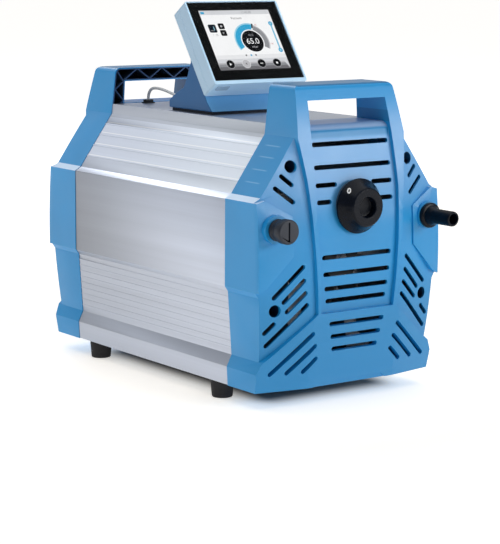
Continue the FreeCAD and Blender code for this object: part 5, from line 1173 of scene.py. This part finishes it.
class PUMP_OT_screen(bpy.types.Operator):
    """Draws a generic pressure gauge, buttons and bars on the lit screen"""
    bl_idname = "pump.screen"
    bl_label = "Screen"

    def execute(self, context):
        screen = looks(context, "screen")
        self.layer = 0
        self.inks = {name: lit_ink("ink_" + name, linear(*channels), screen.glow)
                     for name, channels in INKS.items()}
        self.inks["blue"] = lit_ink("ink_blue", screen.arc_blue, screen.glow)
        self.panel("light", "white", -SCREEN_HALF, SCREEN_HALF, SCREEN_LOW, SCREEN_HIGH)
        self.panel("status_bar", "bar", -SCREEN_HALF, SCREEN_HALF, 91.6, SCREEN_HIGH)
        self.panel("status_mark", "blue", -49.6, -44.4, 92.8, 95.9)
        self.words("clock", "grey", "12:45:30", 4.4, 17.0, 94.4)
        self.words("headline", "text", screen.headline, 5.0, -0.6, 86.4)
        self.deck()
        self.gauge(screen)
        self.icons()
        self.slider()
        for index, x in enumerate((-6.6, 0.7, 7.6)):
            self.disc(f"page_dot_{index}", "blue" if index == 1 else "deck", x, 34.0, 1.2)
        self.buttons()
        return {"FINISHED"}

    def next_depth(self):
        """How far behind the display's face the next shape lies, in millimetres."""
        depth = LIGHT_DEPTH - LAYER_STEP * self.layer
        self.layer += 1
        return depth

    def inked(self, piece, ink):
        coat(piece, self.inks[ink])
        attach(piece, "housing")

    def finish(self, bm, name, ink):
        """Lays a flat shape, drawn as x and z with Y to the back, on the next layer of the screen."""
        faces = bmesh.ops.extrude_face_region(bm, geom=bm.faces[:])
        raised = [each for each in faces["geom"] if isinstance(each, bmesh.types.BMVert)]
        bmesh.ops.translate(bm, vec=(0, -INK_THICKNESS * MM, 0), verts=raised)
        bmesh.ops.recalc_face_normals(bm, faces=bm.faces)
        bmesh.ops.translate(bm, vec=(0, self.next_depth() * MM, 0), verts=bm.verts)
        bmesh.ops.transform(bm, matrix=DISPLAY, verts=bm.verts)
        self.inked(collect(bm, "screen_" + name), ink)

    def outline(self, name, ink, corners, round_corners=0.0):
        bm = bmesh.new()
        verts = [bm.verts.new(on_screen(x, z, 0)) for x, z in corners]
        bm.faces.new(verts)
        if round_corners:
            bmesh.ops.bevel(bm, geom=bm.verts[:], offset=round_corners * MM, segments=6, profile=0.5,
                            affect="VERTICES", material=-1)
        self.finish(bm, name, ink)

    def panel(self, name, ink, left, right, low, high, round_corners=0.0):
        self.outline(name, ink, rectangle(left, right, low, high), round_corners)

    def disc(self, name, ink, x, z, radius):
        bm = bmesh.new()
        place = Matrix.Translation(on_screen(x, z, 0)) @ UPRIGHT
        bmesh.ops.create_circle(bm, cap_ends=True, segments=48, radius=radius * MM, matrix=place)
        self.finish(bm, name, ink)

    def arc(self, name, ink, x, z, inner, outer, start, end):
        """A band round x, z from start to end, in degrees from the right, counted to the left."""
        bm = bmesh.new()
        angle = math.radians(start)
        way = Vector((math.cos(angle), 0, math.sin(angle)))
        centre = on_screen(x, z, 0)
        ends = [bm.verts.new(centre + way * radius * MM) for radius in (inner, outer)]
        rim = bm.edges.new(ends)
        bmesh.ops.spin(bm, geom=ends + [rim], cent=centre, axis=(0, -1, 0), dvec=(0, 0, 0),
                       angle=math.radians(end - start), steps=48, use_merge=False, use_duplicate=False)
        self.finish(bm, name, ink)

    def words(self, name, ink, text, height, x, z):
        place = DISPLAY @ Matrix.Translation(on_screen(x, z, self.next_depth() - WORDS_STEP)) @ UPRIGHT
        piece = lettering("screen_" + name, text, height * MM, place, WORDS_THICKNESS * MM)
        self.inked(piece, ink)

    def deck(self):
        """The shaded shelf that the buttons lie on, fading upwards."""
        for index, (ink, high) in enumerate((("haze", 35.0), ("bar", 29.5))):
            self.panel(f"fade_{index}", ink, -SCREEN_HALF, SCREEN_HALF, SCREEN_LOW, high)
        slope = DECK_NARROWING / (DECK_TOP - SCREEN_LOW)
        for index, (ink, high) in enumerate((("silver", DECK_TOP), ("grey", 22.6), ("deck", 19.0))):
            right = SCREEN_HALF - (high - SCREEN_LOW) * slope
            self.outline(f"deck_{index}", ink, [(-SCREEN_HALF, SCREEN_LOW), (SCREEN_HALF, SCREEN_LOW),
                                                (right, high), (-SCREEN_HALF + 1.0, high)])

    def gauge(self, screen):
        x, z = 11.0, 53.6
        self.arc("arc_glow", "pale_blue", x, z, 17.0, 25.4, 74, 209)
        self.arc("arc_blue", "blue", x, z, 16.4, 23.6, 75, 207)
        self.arc("arc_grey", "silver", x, z, 16.4, 24.2, -29, 69)
        self.arc("arc_grey_core", "grey", x, z, 16.8, 22.6, -28, 68)
        self.arc("marker", "black", x, z, 19.0, 25.6, 69.0, 74.0)
        self.disc("gauge_ring", "white", x, z, 15.9)
        self.disc("gauge_face", "black", x, z, 15.0)
        self.words("reading", "white", screen.reading, 11.0, x, z - 0.4)
        self.words("small_reading", "grey", "42.0", 4.4, x + 0.2, z + 8.4)
        self.words("unit", "silver", "mbar", 4.2, x, z - 8.0)
        self.words("set_point", "blush", "40", 3.4, x + 12.6, z + 22.4)
        self.words("end_point", "blush", "100", 3.2, x + 26.6, z - 4.6)

    def icons(self):
        self.panel("icon_large", "navy", -46.0, -35.0, 66.7, 78.0, 1.8)
        self.panel("icon_large_mark", "pale_blue", -38.9, -38.0, 69.6, 75.0, 0.3)
        self.panel("icon_large_foot", "grey", -44.0, -39.8, 69.0, 69.9, 0.3)
        self.panel("icon_upper", "black", -31.2, -22.6, 71.2, 79.4, 1.6)
        self.disc("icon_upper_mark", "silver", -26.9, 75.3, 1.5)
        self.panel("icon_lower", "black", -31.2, -22.6, 61.8, 70.0, 1.6)
        self.outline("icon_lower_mark", "silver", [(-28.0, 64.7), (-25.6, 65.9), (-28.0, 67.1)])
        self.words("caption", "grey", "1 : 25", 3.4, -39.6, 63.0)

    def slider(self):
        x = 46.9
        self.panel("slider_line", "blue", x - 1.0, x + 1.0, 41.0, 77.0)
        self.panel("slider_core", "pale_blue", x - 0.35, x + 0.35, 42.0, 76.0)
        for name, z in (("low", 40.0), ("high", 77.8)):
            self.disc(f"slider_ring_{name}", "blue", x, z, 3.0)
            self.disc(f"slider_face_{name}", "pale_blue", x, z, 1.5)

    def buttons(self):
        z = 22.3
        for index, x in enumerate((-34.2, -11.2, 11.3, 34.1)):
            dark = index != 1
            self.disc(f"button_rim_{index}", "silver" if dark else "haze", x, z, 6.1)
            self.disc(f"button_{index}", "black" if dark else "silver", x, z, 5.6)
            mark = "white" if dark else "deck"
            if index == 0:
                self.outline("play", mark, [(x - 1.2, z - 1.9), (x + 1.9, z), (x - 1.2, z + 1.9)])
            elif index == 1:
                self.outline("back", mark, [(x + 1.1, z - 1.7), (x + 1.1, z + 1.7), (x - 1.5, z)])
            elif index == 2:
                self.panel("menu", mark, x - 2.0, x + 2.0, z - 0.45, z + 0.45)
            else:
                self.panel("stop", mark, x - 1.4, x + 1.4, z - 1.3, z + 1.3, 0.5)


class PUMP_OT_pedestal(bpy.types.Operator):
    """Rounds the display's pedestal and finishes its pad"""
    bl_idname = "pump.pedestal"
    bl_label = "Pedestal"

    def execute(self, context):
        screen = looks(context, "screen")
        pedestal = dressed("controller_pedestal", 1.6, 3, 14.0)
        # The pedestal's lighter front and darker flanks are painted light and shade
        coat(pedestal, moulded_plastic("pedestal_plastic", screen.pedestal, 0.42, front=linear(104, 172, 226),
                                       flank=shaded(screen.pedestal, 0.6), specular=0.25))
        coat(NODES["pedestal_pad"], soft_rubber("pad_rubber", linear(40, 46, 58)))
        return {"FINISHED"}


# Mains inlet and switch: the rear face, the middle of the inlet and the room that its blades take up,
# behind the face and to each side, and the rocker's marks with how far they stand out
REAR_FACE = 239.5
INLET_AT = spot(12, REAR_FACE, 180)
BLADE_DEPTHS = (2.5 * MM, 14.8 * MM)
BLADE_ACROSS = 8.5 * MM
BLADE_HIGH = 5.6 * MM
ON_MARK_AT = spot(-18.0, REAR_FACE + 1.6, 184.6)
ON_MARK_HALF = (0.3 * MM, 1.4 * MM)
ON_MARK_DEPTH = 0.5 * MM
OFF_MARK_AT = spot(-18.0, REAR_FACE + 0.15, 175.6)


class PUMP_OT_mains(bpy.types.Operator):
    """Rounds the mains module, tips its blades with metal and marks the rocker"""
    bl_idname = "pump.mains"
    bl_label = "Mains"

    def execute(self, context):
        module = dressed("mains_module", 0.5)
        coat(module, moulded_plastic("mains_black", linear(34, 34, 36), 0.45))
        module.data.materials.append(turned_steel("blade_metal", linear(196, 190, 176), 0.3))
        for face in module.data.polygons:
            place = face.center
            deep = INLET_AT.y - BLADE_DEPTHS[1] < place.y < INLET_AT.y - BLADE_DEPTHS[0]
            near = abs(place.x - INLET_AT.x) < BLADE_ACROSS and abs(place.z - INLET_AT.z) < BLADE_HIGH
            if deep and near:
                face.material_index = 1
        rocker = dressed("mains_rocker", 0.5, 3)
        coat(rocker, gloss_plastic("rocker_black", linear(36, 36, 38), 0.3))
        self.add_marks()
        return {"FINISHED"}

    def add_marks(self):
        """A bar for on and a ring for off, standing on the rocker's two faces."""
        white = moulded_plastic("rocker_white", linear(235, 235, 232), 0.5)
        half, high = ON_MARK_HALF
        bar = slab("rocker_on_mark", ON_MARK_AT + Vector((-half, 0, -high)),
                   ON_MARK_AT + Vector((half, ON_MARK_DEPTH, high)))
        ring = lathe("rocker_off_mark", [(0, 0.9), (0, 1.4), (0.3, 1.4), (0.3, 0.9)], OFF_MARK_AT, steps=32)
        for mark in (bar, ring):
            coat(mark, white)
            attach(mark, "mains_switch")


# Inside the case
class PUMP_OT_drive(bpy.types.Operator):
    """Finishes the motor, crank drive, pump heads, hoses, fans and electronics"""
    bl_idname = "pump.drive"
    bl_label = "Drive and pump"

    def execute(self, context):
        centre = tuple(spot(0, 0, 140))
        casting = cast_metal("drive_casting", linear(168, 171, 176))
        head = cast_metal("head_casting", linear(186, 188, 192), 0.42, 0.0008)
        steel = turned_steel("ground_steel", linear(182, 184, 188), 0.24, 0.0004, centre)
        bearing = turned_steel("bearing_steel", linear(205, 206, 209), 0.14, 0.0006, centre)
        rod = anodised_panel("rod_aluminium", linear(178, 181, 186), 0.34)
        rubber = soft_rubber("inner_rubber", linear(46, 46, 49))
        screw = turned_steel("screw_steel", linear(140, 142, 146), 0.3)
        moving_rods = tuple(node for node in NODES if node.endswith(("_rod", "_clamp_disc")))
        finishes = {
            casting: ("motor_housing", "motor_end_shields", "front_crankcase", "rear_crankcase"),
            head: ("pump_heads",),
            steel: ("drive_shaft", "front_eccentric", "rear_eccentric"),
            bearing: ("shaft_bearings", "rod_bearings"),
            rod: moving_rods + ("tie_rods",),
            rubber: ("diaphragms", "crankcase_buffers"),
            screw: ("head_screws", "cover_screws"),
            soft_rubber("valve_rubber", linear(70, 64, 58)): ("valve_discs",),
            stacked_steel("stator_sheets", linear(126, 128, 132)): ("stator_core",),
            wound_copper("winding_copper", linear(196, 116, 66), centre): ("stator_windings",),
            turned_steel("magnet_sleeve", linear(96, 98, 104), 0.35, 0.0006, centre): ("rotor_magnets",),
            moulded_plastic("fan_black", linear(30, 31, 33), 0.5): ("front_fan", "rear_fan"),
            soft_rubber("hose_grey", linear(92, 95, 100), 0.5): ("gas_hoses",),
            cast_metal("electronics_case", linear(134, 139, 146), 0.45, 0.0008): ("drive_electronics",),
        }
        for finish, nodes in finishes.items():
            for node in nodes:
                coat(NODES[node], finish)
        return {"FINISHED"}


class PUMP_PT_looks(bpy.types.Panel):
    """Lists the pump's settings and the steps that build its looks"""
    bl_idname = "PUMP_PT_looks"
    bl_label = "Pump"
    bl_space_type = "VIEW_3D"
    bl_region_type = "UI"
    bl_category = "Pump"

    def draw(self, context):
        for part, (_, steps) in SECTIONS.items():
            box = self.layout.box()
            settings = looks(context, part)
            for key in settings.__annotations__:
                box.prop(settings, key)
            for step in steps:
                box.operator(step.bl_idname)


SECTIONS = {
    "stage": (PumpStageLooks, (PUMP_OT_stage,)),
    "cable": (PumpCableLooks, (PUMP_OT_lead,)),
    "case": (PumpCaseLooks, (PUMP_OT_covers, PUMP_OT_panels, PUMP_OT_feet)),
    "front": (PumpFrontLooks, (PUMP_OT_knob, PUMP_OT_ports)),
    "screen": (PumpScreenLooks, (PUMP_OT_display, PUMP_OT_screen, PUMP_OT_pedestal, PUMP_OT_mains,
                                 PUMP_OT_drive)),
}
CLASSES = [settings for settings, _ in SECTIONS.values()]
CLASSES += [step for _, steps in SECTIONS.values() for step in steps] + [PUMP_PT_looks]


def register():
    for each in CLASSES:
        bpy.utils.register_class(each)
    for part, (settings, _) in SECTIONS.items():
        setattr(bpy.types.Scene, "pump_" + part, PointerProperty(type=settings))


def unregister():
    for part in SECTIONS:
        delattr(bpy.types.Scene, "pump_" + part)
    for each in reversed(CLASSES):
        bpy.utils.unregister_class(each)


def main():
    register()
    bpy.ops.pump.stage()
    bpy.ops.pump.lead()
    bpy.ops.pump.covers()
    bpy.ops.pump.panels()
    bpy.ops.pump.feet()
    bpy.ops.pump.knob()
    bpy.ops.pump.ports()
    bpy.ops.pump.display()
    bpy.ops.pump.screen()
    bpy.ops.pump.pedestal()
    bpy.ops.pump.mains()
    bpy.ops.pump.drive()


if __name__ == "__main__":
    main()
